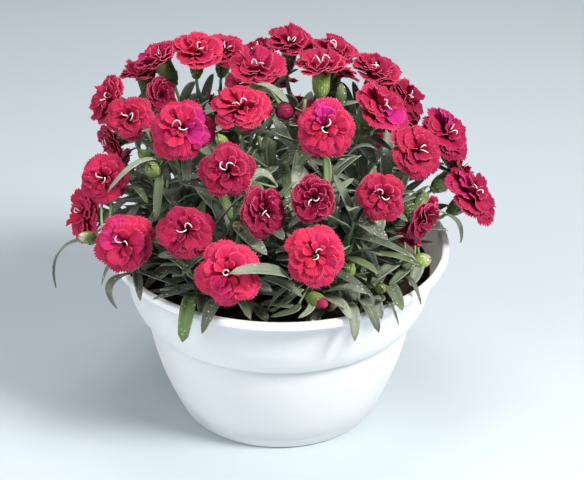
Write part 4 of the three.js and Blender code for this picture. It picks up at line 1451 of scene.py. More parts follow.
@dataclass(frozen=True)
class Bloom:
    """A double flower, built facing +Z with its heart at the origin and then turned."""

    seat: Seat
    number: int
    sink: float = 1.8
    claw: tuple[float, float] = (1.6, -4.0)
    tooth: float = 0.08
    pleat: float = 0.013
    wall: float = 0.32
    style_length: float = 8.2
    style_radius: float = 0.3

    def petal(self, clay: Clay, turn_to: Matrix, tier: Tier, turn: float, dice: Dice, flush: float) -> None:
        """Adds one petal.

        Args:
            clay: The mesh that it goes in.
            turn_to: The turn and place of the flower.
            tier: Its round.
            turn: Its bearing round the flower, in radians.
            dice: What its variety is drawn from.
            flush: How magenta it is.
        """
        radius, cup = self.seat.span / 2, self.seat.cup
        loose = 1 - tier.reach
        reach = radius * tier.reach * (1 - 0.25 * abs(cup)) * (1 + dice.swing(0.08 + 0.2 * loose))
        closed = max(cup, 0.0)
        lift = tier.lift * (1 - 1.2 * closed) + 1.1 * cup * tier.reach**1.5
        lift = radius * (lift + dice.swing(0.04 + 0.08 * loose))
        bow_out = radius * tier.bow[0]
        bow_up = radius * (tier.bow[1] * max(1 - 1.5 * closed, 0) + 0.55 * closed**2)
        fan = math.radians(tier.fan) * (1 + dice.swing(0.1))
        wave, phase = radius * tier.wave * dice.between(0.5, 1.5), dice.between(0, 2 * math.pi)
        fold, curl = radius * tier.fold * dice.between(-0.5, 1.2), radius * dice.swing(0.035)
        twist, lean = dice.swing(tier.twist), dice.between(0.02, 0.1) * radius
        skew, lobe = dice.swing(0.09), tier.lobe * dice.between(0.7, 1.3)
        notch, pleats = dice.swing(0.8), dice.between(2.2, 3.6)
        teeth = [self.tooth * (0.4 + 0.6 * dice.roll()) * (k % 2 == 0) for k in range(tier.columns + 1)]
        tone = min(max(self.seat.tone.value + dice.swing(0.16), 0), 1)
        facing = turn_to @ Matrix.Rotation(turn, 4, "Z")

        def place(a: float, t: float) -> Vector:
            """The petal's surface."""
            s = 1 - (1 - t) ** 1.3
            angle = fan * a * (0.3 + 0.7 * smooth(s, 0, 0.5))
            margin = reach * (1 - lobe * abs(a) ** 2.3) * (1 + skew * a)
            margin *= 1 - 0.05 * math.exp(-(((a - notch) / 0.13) ** 2))
            if t > 0.99:
                s = 1 - teeth[round((a + 1) / 2 * tier.columns)]
            g = 1 - s
            out = g * g * self.claw[0] + 2 * g * s * bow_out + s * s * margin
            up = g * g * self.claw[1] + 2 * g * s * bow_up + s * s * lift
            waves = math.sin(math.pi * a + phase) + 0.5 * math.sin(2.7 * math.pi * a + 2 * phase)
            up += s * s * wave * waves
            up += s * (lean * a + fold * abs(a)) + curl * smooth(s, 0.7, 1)
            up += radius * self.pleat * s * math.sin(2 * math.pi * pleats * a + 3 * phase)
            across = out * math.sin(angle)
            roll = twist * s
            turned = (out * math.cos(angle), across * math.cos(roll), up + across * math.sin(roll))
            return facing @ Vector(turned)

        def wash(a: float, t: float) -> Colour:
            """The petal's tone, flush and depth."""
            return (tone, flush * smooth(t, 0.0, 0.35), (1 - t) ** 1.3)

        clay.sheet(tier.columns, tier.rows, place, wash)

    def style(self, clay: Clay, turn_to: Matrix, dice: Dice, side: float) -> None:
        """Adds one curled white style that stands out of the heart.

        Args:
            clay: The mesh that it goes in.
            turn_to: The turn and place of the flower.
            dice: What its variety is drawn from.
            side: Its bearing, in radians.
        """
        length = self.style_length * dice.between(0.6, 1.1)
        curl = dice.between(0.5, 1.7) * (1 if dice.roll() < 0.5 else -1)
        base = 0.22 * self.seat.span / 2
        points = []
        for k in range(9):
            t = k / 8
            angle, out = side + curl * t * t, 0.8 + 0.62 * length * t
            height = base + 0.55 * length * math.sin(2.6 * t)
            points.append(turn_to @ Vector((out * math.cos(angle), out * math.sin(angle), height)))
        places = [np.array(point) for point in points]
        ways = [unit(after - before) for before, after in zip(places, places[1:])]
        stations = list(zip(places, [*ways, ways[-1]]))
        clay.tube(5, stations, lambda s: self.style_radius * (1 - 0.4 * s), material=2)

    def build(self, finishes: list) -> Piece:
        """Builds the flower in its seat.

        Args:
            finishes: The finishes of the petals' faces, backs and styles.

        Returns:
            The finished flower.
        """
        seat = self.seat
        dice = Dice(Draw.BLOOM.seed(self.number))
        axis = heading(seat.turn, seat.tilt)
        u, v = square_to(axis)
        heart = Vector((seat.x, seat.y, seat.z)) - Vector(axis) * self.sink
        turn_to = Matrix.Translation(heart) @ Matrix(np.column_stack([u, v, axis])).to_4x4()
        clay = Clay()
        flushed = math.radians(seat.side + 180)
        for tier in TIERS:
            start = dice.between(0, 2 * math.pi)
            upper = 0.25 + 0.75 * (tier.reach < 0.9)
            for k in range(tier.petals):
                turn = start + 2 * math.pi * k / tier.petals + dice.swing(0.16)
                near = smooth(math.cos(turn - flushed), 0.68, 0.8)
                self.petal(clay, turn_to, tier, turn, dice, min(seat.flush * (0.06 + near) * upper, 1))
        side = dice.between(0, 2 * math.pi)
        for _ in range(seat.styles):
            self.style(clay, turn_to, dice, side)
            side += dice.between(1.6, 3.6)
        name = f"flower_{self.number:02d}"
        return clay.finish(f"bloom_{self.number:02d}", finishes, Slot.PETAL, [name], self.wall, 1)


# ---- stems and calyces


@dataclass(frozen=True)
class Stalks:
    """The stems, calyces, crowns and green buds of one clump."""

    stem_radius: float = 1.25
    joint_radius: float = 1.9
    twig_radius: float = 0.95
    shoot_radius: float = 1.1
    foot_radius: float = 2.9
    belly: tuple[float, float] = (5.9, 0.4)
    mouth_radius: float = 6.3
    tooth: float = 4.2
    bud_radius: float = 4.2

    def stem(self, clay: Clay, curve: Handles, radius: float, joints: tuple[float, ...]) -> None:
        """Adds a stem that swells at its joints.

        Args:
            clay: The mesh that it goes in.
            curve: Its curve.
            radius: Its radius.
            joints: Where its joints are, as shares of its length.
        """

        def girth(s: float) -> float:
            """The radius at a share of the length."""
            swell = sum(math.exp(-(((s - t) / 0.022) ** 2)) for t in joints)
            return radius * (1.12 - 0.2 * s) + (self.joint_radius - radius) * min(swell, 1)

        clay.tube(6, along_curve(curve, 23), girth, lambda a, s: (0.25 + 0.3 * s, 0, 0))

    def calyx(self, clay: Clay, stalk: Stalk, dice: Dice, fresh: float, teeth: int = 5) -> None:
        """Adds a flower's green tube with its teeth, and the scales that clasp its foot.

        Args:
            clay: The mesh that it goes in.
            stalk: The end of the stem.
            dice: What its variety is drawn from.
            fresh: How yellow it is.
            teeth: How many teeth it has.
        """
        u, v = square_to(stalk.axis)
        spin, size = dice.between(0, math.pi), dice.between(0.88, 1.12)
        lower = dice.between(2.5, 5.5)
        foot = stalk.foot - stalk.axis * lower
        fresh = min(max(fresh + dice.swing(0.15), 0), 1)

        def girth(s: float) -> float:
            """The radius of the tube at a share of its length."""
            swell = math.sin(math.pi * min(s / (2 * self.belly[1]), 0.5)) ** 0.7
            wide = self.foot_radius + (self.belly[0] * size - self.foot_radius) * swell
            return wide + (self.mouth_radius - self.belly[0]) * size * smooth(s, self.belly[1], 1)

        def tube(a: float, s: float) -> Point:
            """The tube's surface, whose last rows rise into the teeth."""
            angle = math.pi * a + spin
            tooth = zigzag(teeth * (a + 1) / 2)
            height = s * (stalk.length + lower - 3.5) + self.tooth * (1 - tooth) * smooth(s, 0.72, 1)
            height -= 1.8 * tooth * smooth(s, 0.8, 1)
            radius = girth(s) + 0.12 * math.cos(10 * angle)
            return foot + stalk.axis * height + spoke(u, v, angle) * radius

        made = clay.sheet(teeth * 6, 9, tube, lambda a, s: (fresh, 0, s), 1)
        clay.close_seam(made)
        for k in range(4):
            turn = spin + math.pi * k / 2
            self.scale(clay, foot, stalk.axis, turn, dice.between(10, 13), size, fresh)

    def scale(
        self, clay: Clay, foot: Point, axis: Point, turn: float, length: float, size: float, fresh: float
    ) -> None:
        """Adds one pointed scale that clasps the foot of a calyx.

        Args:
            clay: The mesh that it goes in.
            foot: The foot of the calyx.
            axis: The unit way that it points.
            turn: Its bearing round the calyx, in radians.
            length: Its length.
            size: The calyx's size, with 1 as usual.
            fresh: How yellow it is.
        """
        u, v = square_to(axis)

        def place(a: float, s: float) -> Point:
            """The scale's surface."""
            angle = turn + 0.8 * a * (1 - s) ** 0.6 * (0.5 + 0.9 * math.sin(math.pi * min(s + 0.25, 1)))
            swell = self.foot_radius + 0.5 + (self.belly[0] * size - self.foot_radius) * smooth(s, 0, 1.1)
            radius = swell + 0.8 * s * s
            return foot + axis * (length * s - 1.0) + spoke(u, v, angle) * radius

        clay.sheet(4, 5, place, lambda a, s: (min(fresh + 0.1, 1), 0, 1 - s), 1)

    def green_bud(self, clay: Clay, bud: Bud, stalk: Stalk, dice: Dice) -> None:
        """Adds a closed bud, pointed, or open at the mouth round its ball of petals.

        Args:
            clay: The mesh that it goes in.
            bud: The bud.
            stalk: Its place and way.
            dice: What its variety is drawn from.
        """
        axis, foot, length = stalk.axis, stalk.foot, stalk.length
        middle = stalk.heart - axis * bud.ball
        fresh = min(bud.fresh * dice.between(0.8, 1.2), 1)
        if bud.facing is not None:
            axis = heading(*bud.facing)
        cup = bud.ball and bud.facing is not None
        if cup:
            length = 2.3 * bud.ball
            foot = middle - axis * (length - 0.35 * bud.ball)
        u, v = square_to(axis)
        girth = self.bud_radius * bud.plump
        teeth = 5

        def place(a: float, s: float) -> Point:
            """The bud's surface."""
            angle = math.pi * a
            tooth = zigzag(teeth * (a + 1) / 2)
            swell = math.sin(math.pi * (0.12 + 0.86 * s)) ** 0.7
            radius = girth * max(swell, 0.12 * smooth(s, 0.6, 1)) * (1 - 0.08 * tooth * s)
            height = length * (s - 0.14 * tooth * smooth(s, 0.7, 1))
            if cup:
                radius = 1.8 + (1.22 * bud.ball - 1.8) * math.sin(0.5 * math.pi * min(1.2 * s, 1)) ** 0.8
            elif bud.ball:
                radius = 1.4 + 1.15 * bud.ball * math.sin(math.pi * (0.08 + 0.74 * s)) ** 0.8
                height = (length - 0.5 * bud.ball) * s - 1.8 * tooth * smooth(s, 0.7, 1)
            return foot + axis * height + spoke(u, v, angle) * radius

        made = clay.sheet(teeth * 4, 10, place, lambda a, s: (fresh, bud.pale * smooth(s, 0.6, 0.9), s), 1)
        clay.close_seam(made)
        for k in range(4):
            turn = math.pi * k / 2
            self.scale(clay, foot, axis, turn, 0.42 * length, girth / self.belly[0], fresh)

    def crown(self, clay: Clay, growth: Growth, clump: int) -> None:
        """Adds the short knobbly foot of a plant, which stands in its hole in the soil.

        Args:
            clay: The mesh that it goes in.
            growth: Where the plants stand.
            clump: The clump's number, from 0.
        """
        habit = growth.habit
        base = growth.crowns[clump]
        foot, rise = habit.crown_foot, habit.crown_height - habit.crown_foot
        stations = [(base + UP * (foot + rise * k / 6), UP) for k in range(7)]
        girth, woody = habit.crown_radius, (0.1, 0.6, 0)
        clay.tube(14, stations, lambda s: girth * (1.08 - 0.25 * s**3), lambda a, s: woody)

    def build(self, growth: Growth, clump: int, finishes: list) -> Piece:
        """Builds a clump's stems, calyces, twigs, buds and crown.

        Args:
            growth: Where they grow.
            clump: The clump's number, from 0.
            finishes: The finishes of the stems and of the calyces.

        Returns:
            The finished piece.
        """
        clay = Clay()
        self.crown(clay, growth, clump)
        joints = tuple(sorted((*growth.habit.joints, *FINE_JOINTS)))
        for stem in growth.stems:
            if stem.clump == clump:
                self.stem(clay, stem.curve, self.stem_radius, joints)
                fresh = SEATS[stem.flower].fresh
                self.calyx(clay, growth.stalks[stem.flower], Dice(Draw.CALYX.seed(stem.flower)), fresh)
        for shoot in growth.shoots:
            if shoot.clump == clump:
                self.stem(clay, shoot.curve, self.shoot_radius, Shoots().joints)
        for k, (home, bud, stalk, curve) in enumerate(growth.buds):
            if home == clump:
                self.stem(clay, curve, self.twig_radius, ())
                self.green_bud(clay, bud, stalk, Dice(Draw.BUD.seed(k)))
        for blade in growth.blades:
            if blade.clump == clump and blade.twig is not None:
                self.stem(clay, blade.twig, self.twig_radius, ())
        return clay.finish(f"stems_{clump + 1}", finishes, Slot.LEAF, [f"clump_{clump + 1}"])


@dataclass(frozen=True)
class BudPetals:
    """The tight ball of furled petals in the mouth of a bud."""

    number: int
    bud: Bud
    stalk: Stalk

    def build(self, finishes: list) -> Piece:
        """Builds the ball, whose petals wrap over one another at shallow creases.

        Args:
            finishes: The finishes of the ball's petals.

        Returns:
            The finished piece.
        """
        axis, radius = self.stalk.axis, self.bud.ball
        u, v = square_to(axis)
        middle = self.stalk.heart - axis * radius
        reach, tone = (1.06, Tone.DUSKY) if self.bud.facing else (2.1, Tone.ROSE)

        def place(a: float, s: float) -> Point:
            """The ball's surface."""
            angle, rise = math.pi * a, math.pi * (s - 0.5)
            crease = zigzag(2.5 * (a + 1) + 1.1 * s)
            swell = radius * (1 - 0.07 * crease**6)
            side = spoke(u, v, angle)
            return middle + (side * math.cos(rise) + axis * (reach * math.sin(rise))) * swell

        clay = Clay()
        clay.sheet(40, 16, place, lambda a, s: (tone.value, 0.0, 0.4))
        bmesh.ops.remove_doubles(clay.mesh, verts=clay.mesh.verts, dist=MERGE_GAP)
        name = f"bud_tip_{self.number}"
        return clay.finish(f"bud_petals_{self.number}", finishes, Slot.PETAL, [name])


# ---- leaves


@dataclass(frozen=True)
class Foliage:
    """The leaves of one clump: channelled blades with a midrib and a pointed tip."""

    columns: int = 4
    rows: int = 12
    wall: float = 0.62
    fold: float = 0.24
    channel: float = 0.5

    def leaf(self, clay: Clay, blade: Blade, dice: Dice) -> None:
        """Adds one leaf.

        Args:
            clay: The mesh that it goes in.
            blade: Its middle line, width and colour.
            dice: What its variety is drawn from.
        """
        stations = []
        for k in range(self.rows + 1):
            point, direction = blade.line(k / self.rows)
            side = stations[-1][1] if stations else np.cross(direction, UP)
            side = unit(side - direction * (side @ direction))
            stations.append((point, side, np.cross(side, direction)))
        ripple, phase = dice.between(0.1, 0.5), dice.between(0, 2 * math.pi)
        shade = dice.roll() ** 2

        def place(a: float, s: float) -> Point:
            """The leaf's surface."""
            point, side, normal = stations[round(s * self.rows)]
            half = 0.5 * blade.width * leaf_width(s) ** blade.blunt * (0.5 + 0.5 * smooth(s, 0, 0.25))
            half = max(half, 0.14)
            turn = math.radians(blade.roll) + blade.twist * s * s
            groove = self.channel * math.exp(-((a / 0.16) ** 2)) * (1 - 0.6 * s)
            lift = self.fold * half * abs(a) ** 1.4 - groove
            lift += ripple * a * a * math.sin(7 * s + phase) * smooth(s, 0.1, 0.4)
            across = half * a
            turned = across * math.cos(turn) - lift * math.sin(turn)
            raised = across * math.sin(turn) + lift * math.cos(turn)
            return point + side * turned + normal * (raised - 0.2)

        def wash(a: float, s: float) -> Colour:
            """The leaf's freshness, dryness and shade."""
            dry = max(blade.dry, 0.75 * smooth(s, 0.93, 1.0) * (shade > 0.5))
            return (blade.fresh, dry, shade)

        clay.sheet(self.columns, self.rows, place, wash)

    def build(self, growth: Growth, clump: int, finishes: list) -> Piece:
        """Builds a clump's leaves.

        Args:
            growth: Where they grow.
            clump: The clump's number, from 0.
            finishes: The finishes of the leaves' faces and backs.

        Returns:
            The finished piece.
        """
        clay = Clay()
        for k, blade in enumerate(growth.blades):
            if blade.clump == clump:
                self.leaf(clay, blade, Dice(Draw.LEAF.seed(k)))
        return clay.finish(f"leaves_{clump + 1}", finishes, Slot.LEAF, [f"clump_{clump + 1}"], self.wall, 1)


# ---- soil


@dataclass(frozen=True)
class Soil:
    """Potting soil: a body that fills the bowl, and the crumbs on its top."""

    wall: tuple = ((73.4, 4.4), (97.9, 80), (113.6, 116))
    steps: int = 120
    rings: int = 44
    top: float = 118.6
    roughness: float = 2.4
    crumbs: int = 1500
    crumb_size: tuple[float, float] = (0.7, 2.6)
    crumb_circle: float = 112.5
    chip_share: float = 0.05

    def height(self, x: float, y: float) -> float:
        """The height of the crumbly top at a place.

        Args:
            x: Across, in millimetres.
            y: Along, in millimetres.

        Returns:
            The height.
        """
        point = Vector((x, y, 0)) * 0.09
        fine = noise.fractal(point, 0.9, 2.1, 4) * self.roughness
        edge = smooth(math.hypot(x, y), 96, 113.6)
        return self.top + fine * (1 - 0.6 * edge) - 2.0 * edge

    def build(self, body_finish: "SoilFinish") -> Piece:
        """Builds the body of soil.

        Args:
            body_finish: The finish of the soil.

        Returns:
            The finished piece.
        """
        clay = Clay()
        edge_radius = self.wall[-1][0]
        top = [(edge_radius * (1 - k / self.rings), self.top) for k in range(self.rings + 1)]
        clay.spin([(0, self.wall[0][1]), *self.wall[:-1], *top], self.steps)
        for vertex in clay.mesh.verts:
            vertex[clay.wash] = (0, 0, 0, 1)
            if vertex.co.z > self.wall[-1][1]:
                vertex.co.z = self.height(vertex.co.x, vertex.co.y)
        return clay.finish("potting_soil", [body_finish], Slot.SOIL, ["soil"])

    def build_crumbs(self, finish: "SoilFinish") -> Piece:
        """Scatters crumbs of peat and bark on the top.

        Args:
            finish: The finish of the crumbs.

        Returns:
            The finished piece.
        """
        clay, dice = Clay(), Dice(Draw.CRUMBS.seed())
        for _ in range(self.crumbs):
            radius, turn = self.crumb_circle * math.sqrt(dice.roll()), dice.between(0, 2 * math.pi)
            x, y = radius * math.cos(turn), radius * math.sin(turn)
            size = dice.between(0, 1) ** 2 * (self.crumb_size[1] - self.crumb_size[0]) + self.crumb_size[0]
            place = Matrix.Translation((x, y, self.height(x, y) + 0.3 * size))
            tumble = Matrix.Rotation(dice.between(0, 6), 4, "X") @ Matrix.Rotation(dice.between(0, 6), 4, "Z")
            stretch = (size, size * dice.between(0.45, 0.9), size * dice.between(0.4, 0.8), 1)
            pose = place @ tumble @ Matrix.Diagonal(stretch)
            made = bmesh.ops.create_icosphere(clay.mesh, subdivisions=1, radius=1, matrix=pose)
            pale = 1.0 if dice.roll() > 1 - self.chip_share else 0.12 * dice.roll()
            for vertex in made["verts"]:
                vertex[clay.wash] = (pale, 0, 0, 1)
        return clay.finish("soil_crumbs", [finish], Slot.SOIL, [])


# ---- finishes


class Sketch:
    """A node tree in the making."""

    def __init__(self, tree: bpy.types.NodeTree) -> None:
        """Works in a tree."""
        self.tree = tree

    def feed(self, node: bpy.types.Node, inputs: dict) -> None:
        """Sets or links a node's inputs.

        Args:
            node: The node.
            inputs: A value or a socket for each input's name or number.
        """
        for key, value in inputs.items():
            if isinstance(value, Socket):
                self.tree.links.new(value, node.inputs[key])
            else:
                node.inputs[key].default_value = value

    def node(self, kind: str, inputs: dict | None = None, **settings: object) -> bpy.types.Node:
        """Adds a node.

        Args:
            kind: Its type.
            inputs: Values or sockets for its inputs.
            **settings: Its own settings.

        Returns:
            The node.
        """
        made = self.tree.nodes.new(kind)
        for key, value in settings.items():
            setattr(made, key, value)
        self.feed(made, inputs or {})
        return made

    def maths(self, operation: str, *values: object) -> Socket:
        """The result of a sum on numbers or sockets."""
        return self.node("ShaderNodeMath", dict(enumerate(values)), operation=operation).outputs[0]

    def times(self, one: object, other: object) -> Socket:
        """The product of two numbers or sockets."""
        return self.maths("MULTIPLY", one, other)

    def plus(self, one: object, other: object) -> Socket:
        """The sum of two numbers or sockets."""
        return self.maths("ADD", one, other)

    def coats(self, base: object, *coats: tuple) -> Socket:
        """A colour with others laid over it in turn.

        Args:
            base: The lowest colour.
            *coats: The share and the colour of each one over it.

        Returns:
            The colour that comes out.
        """
        for share, colour in coats:
            mix = self.node("ShaderNodeMix", data_type="RGBA", blend_type="MIX", clamp_factor=True)
            colours = [(*c, 1.0) if isinstance(c, tuple) else c for c in (base, colour)]
            self.feed(mix, dict(zip((0, 6, 7), (share, *colours))))
            base = mix.outputs[2]
        return base

    def span(
        self, value: object, low: float, high: float, start: float = 0.0, end: float = 1.0
    ) -> Socket:
        """A value spread from one range to another, held at its ends."""
        inputs = {0: value, 1: low, 2: high, 3: start, 4: end}
        return self.node("ShaderNodeMapRange", inputs, clamp=True).outputs[0]

    def bump(self, height: object, strength: float, depth: float) -> Socket:
        """The normal of fine relief, whose depth is in metres."""
        inputs = {"Strength": strength, "Distance": depth, "Height": height}
        return self.node("ShaderNodeBump", inputs).outputs[0]

    def position(self) -> Socket:
        """The place on the piece."""
        return self.node("ShaderNodeTexCoord").outputs["Object"]

    def uv(self) -> Socket:
        """The place on the sheet that the piece was bent from."""
        return self.node("ShaderNodeUVMap", uv_map="UVMap").outputs[0]

    def wash(self) -> list[Socket]:
        """The three numbers of the colour wash."""
        wash = self.node("ShaderNodeAttribute", attribute_name="wash").outputs["Color"]
        return self.node("ShaderNodeSeparateColor", {0: wash}).outputs[:3]

    def effect(self, name: str, inputs: dict) -> Socket:
        """The output of a shared effect with its inputs set."""
        return self.node("ShaderNodeGroup", inputs, node_tree=bpy.data.node_groups[name]).outputs[0]

    def mottle(self, scale: float) -> Socket:
        """Soft blotches over the piece."""
        return self.effect("mottle", {"Vector": self.position(), "Scale": scale})

    def specks(self, scale: float, size: float) -> Socket:
        """Small round specks over the piece."""
        return self.effect("specks", {"Vector": self.position(), "Scale": scale, "Size": size})

    def ribs(self, count: float, waver: float) -> Socket:
        """Fine lines along the sheet."""
        return self.effect("ribs", {"UV": self.uv(), "Count": count, "Waver": waver})


def new_effect(name: str, output: str, *inputs: str) -> tuple:
    """Starts a shader node group.

    Args:
        name: Its name.
        output: Its output's name.
        *inputs: Its inputs' names, of which Vector and UV are vectors.

    Returns:
        The sketch of the group, the sockets of its inputs and its output node.
    """
    tree = bpy.data.node_groups.new(name, "ShaderNodeTree")
    for key in inputs:
        kind = "NodeSocketVector" if key in ("Vector", "UV") else "NodeSocketFloat"
        tree.interface.new_socket(name=key, in_out="INPUT", socket_type=kind)
    tree.interface.new_socket(name=output, in_out="OUTPUT", socket_type="NodeSocketFloat")
    sketch = Sketch(tree)
    return sketch, sketch.node("NodeGroupInput").outputs, sketch.node("NodeGroupOutput")


def build_effects() -> None:
    """Builds the effects that several finishes share: mottling, specks and fine ribs."""
    sketch, given, out = new_effect("mottle", "Shade", "Vector", "Scale")
    inputs = {"Vector": given[0], "Scale": given[1], "Detail": 4.0, "Roughness": 0.6}
    cloud = sketch.node("ShaderNodeTexNoise", inputs).outputs[0]
    sketch.feed(out, {0: sketch.span(cloud, 0.32, 0.68)})

    sketch, given, out = new_effect("specks", "Mask", "Vector", "Scale", "Size")
    inputs = {"Vector": given[0], "Scale": given[1], "Randomness": 1.0}
    cells = sketch.node("ShaderNodeTexVoronoi", inputs).outputs
    chosen = sketch.node("ShaderNodeSeparateColor", {0: cells["Color"]}).outputs[0]
    size = sketch.times(given[2], sketch.span(chosen, 0.45, 1.0))
    inside = sketch.maths("SUBTRACT", size, cells["Distance"])
    sketch.feed(out, {0: sketch.span(inside, 0.0, 0.05)})

    sketch, given, out = new_effect("ribs", "Line", "UV", "Count", "Waver")
    across = sketch.node("ShaderNodeSeparateXYZ", {0: given[0]}).outputs[0]
    inputs = {"Vector": given[0], "Scale": 5.0, "Detail": 2.0}
    cloud = sketch.node("ShaderNodeTexNoise", inputs).outputs[0]
    turn = sketch.times(sketch.plus(across, sketch.times(cloud, given[2])), given[1])
    wave = sketch.maths("SINE", sketch.times(turn, 2 * math.pi))
    sketch.feed(out, {0: sketch.span(wave, 0.1, 1.0)})


@dataclass(frozen=True)
class Finish:
    """A finish that is built once and then shared."""

    name: str

    def material(self) -> bpy.types.Material:
        """Builds the material the first time that it is asked for.

        Returns:
            The material.
        """
        if self.name in bpy.data.materials:
            return bpy.data.materials[self.name]
        made = bpy.data.materials.new(self.name)
        made.use_nodes = True
        made.node_tree.nodes.clear()
        sketch = Sketch(made.node_tree)
        shader = sketch.node("ShaderNodeBsdfPrincipled")
        sketch.node("ShaderNodeOutputMaterial", {0: shader.outputs[0]})
        sketch.feed(shader, self.paint(sketch))
        return made

    def paint(self, sketch: Sketch) -> dict[str, object]:
        """Makes the nodes behind the shader.

        Args:
            sketch: The material's sketch.

        Returns:
            A value or a socket for each of the shader's inputs that it sets.
        """
        raise NotImplementedError


@dataclass(frozen=True)
class PetalFinish(Finish):
    """Soft crimson petals: fine veins, a paler toothed rim, magenta where flushed, orange-red patches of
    painted light and painted shade towards each petal's base.
    """

    deep: Colour = (0.2, 0.001, 0.018)
    bright: Colour = (0.59, 0.017, 0.082)
    # Orange-red of the patches of painted light.
    painted_light_patch: Colour = (0.65, 0.021, 0.05)
    magenta: Colour = (0.46, 0.014, 0.2)
    rim: Colour = (0.82, 0.17, 0.28)
    painted_throat_shade: Colour = (0.12, 0.001, 0.01)
    rim_share: float = 0.7
    gloss: float = 0.55

    def paint(self, sketch: Sketch) -> dict[str, object]:
        """Paints the tones, the orange-red patches of painted light, the veins, the painted shade towards
        each petal's base, and the rim.
        """
        tone, flush, depth = sketch.wash()
        veins, cloud = sketch.ribs(17.0, 0.03), sketch.mottle(230.0)
        # The orange-red patches over the bright tone are painted light: placed at random, they stand in for
        # the orange-red of petals in direct light.
        light = sketch.coats(self.bright, (sketch.mottle(70.0), self.painted_light_patch))
        edge = sketch.times(sketch.span(depth, 0.06, 0.01), self.rim_share)
        # The darkening towards each petal's base is painted shade, for the shadow where the petals above
        # overlap it.
        colour = sketch.coats(
            self.deep, (tone, light), (flush, self.magenta), (sketch.times(veins, 0.28), self.deep),
            (sketch.times(cloud, 0.14), self.bright), (sketch.span(depth, 0.45, 0.95), self.painted_throat_shade),
            (edge, self.rim),
        )
        return {
            "Base Color": colour,
            "Roughness": sketch.span(cloud, 0, 1, self.gloss - 0.07, self.gloss + 0.07),
            "Specular IOR Level": 0.12,
            "Normal": sketch.bump(sketch.plus(sketch.times(veins, 0.6), cloud), 0.45, 0.0003),
        }


@dataclass(frozen=True)
class StyleFinish(Finish):
    """The waxy white of the curled styles."""

    white: Colour = (0.93, 0.9, 0.91)
    blush: Colour = (0.85, 0.5, 0.58)

    def paint(self, sketch: Sketch) -> dict[str, object]:
        """Paints the styles, with a blush here and there."""
        cloud = sketch.mottle(300.0)
        colour = sketch.coats(self.white, (sketch.span(cloud, 0.6, 1), self.blush))
        return {"Base Color": colour, "Roughness": 0.35, "Normal": sketch.bump(cloud, 0.15, 0.0002)}


@dataclass(frozen=True)
class LeafFinish(Finish):
    """Waxy leaves: grey green or fresh, with fine ribs, a pale midrib and dried spots."""

    grey: Colour = (0.021, 0.029, 0.014)
    bloom: Colour = (0.4, 0.43, 0.34)
    fresh: Colour = (0.13, 0.21, 0.05)
    dry: Colour = (0.3, 0.23, 0.14)
    spot: Colour = (0.62, 0.65, 0.6)
    spots: float = 1.0

    def paint(self, sketch: Sketch) -> dict[str, object]:
        """Paints the wax, ribs, midrib, spots and dry tips."""
        fresh, dry, shade = sketch.wash()
        wax, fine, ribs = sketch.mottle(60.0), sketch.mottle(420.0), sketch.ribs(6.0, 0.02)
        spotted = sketch.span(sketch.mottle(34.0), 0.4, 0.68)
        marked = sketch.times(sketch.times(sketch.specks(600.0, 0.46), spotted), self.spots)
        across = sketch.node("ShaderNodeSeparateXYZ", {0: sketch.uv()}).outputs[0]
        aside = sketch.maths("ABSOLUTE", sketch.maths("SUBTRACT", across, 0.5))
        midrib, edge = sketch.span(aside, 0.035, 0.0), sketch.span(aside, 0.44, 0.5)
        lines = sketch.maths("MAXIMUM", midrib, edge)
        powder = sketch.times(sketch.plus(sketch.times(wax, 0.45), shade), 0.62)
        colour = sketch.coats(
            self.grey, (powder, self.bloom), (fresh, self.fresh), (sketch.times(ribs, 0.14), self.grey),
            (sketch.times(lines, 0.35), self.bloom), (sketch.times(fine, 0.1), self.bloom),
            (marked, self.spot), (dry, self.dry),
        )
        raised = sketch.plus(sketch.times(ribs, 0.7), sketch.times(fine, 0.5))
        return {
            "Base Color": colour,
            "Roughness": sketch.span(wax, 0, 1, 0.5, 0.68),
            "Specular IOR Level": 0.4,
            "Normal": sketch.bump(raised, 0.3, 0.0003),
        }


@dataclass(frozen=True)
class StemFinish(Finish):
    """Smooth stems, grey green and powdery, turning fresh towards the top."""

    grey: Colour = (0.16, 0.22, 0.13)
    fresh: Colour = (0.24, 0.34, 0.11)
    wood: Colour = (0.17, 0.11, 0.06)

    def paint(self, sketch: Sketch) -> dict[str, object]:
        """Paints the stems and their woody feet."""
        fresh, wood, _ = sketch.wash()
        powder = sketch.mottle(160.0)
        coats = (fresh, self.fresh), (sketch.times(powder, 0.3), self.grey), (wood, self.wood)
        return {
            "Base Color": sketch.coats(self.grey, *coats),
            "Roughness": sketch.span(powder, 0, 1, 0.45, 0.6),
            "Normal": sketch.bump(powder, 0.2, 0.0002),
        }


@dataclass(frozen=True)
class CalyxFinish(Finish):
    """Calyces and buds: dark or yellow green, ribbed, with pale specks and brown or pale tips."""

    green: Colour = (0.045, 0.072, 0.03)
    yellow: Colour = (0.31, 0.42, 0.09)
    pale: Colour = (0.62, 0.66, 0.52)
    brown: Colour = (0.2, 0.1, 0.07)

    def paint(self, sketch: Sketch) -> dict[str, object]:
        """Paints the ribs, tips and specks."""
        fresh, bleached, tip = sketch.wash()
        ribs, cloud = sketch.ribs(20.0, 0.0), sketch.mottle(150.0)
        browned = sketch.times(sketch.span(tip, 0.78, 1.0), 0.5)
        colour = sketch.coats(
            self.green, (fresh, self.yellow), (sketch.times(ribs, 0.3), self.green),
            (sketch.times(cloud, 0.3), self.green), (browned, self.brown), (bleached, self.pale),
            (sketch.times(sketch.specks(600.0, 0.46), 0.9), self.pale),
        )
        return {
            "Base Color": colour,
            "Roughness": sketch.span(cloud, 0, 1, 0.45, 0.6),
            "Normal": sketch.bump(sketch.plus(ribs, cloud), 0.3, 0.0002),
        }


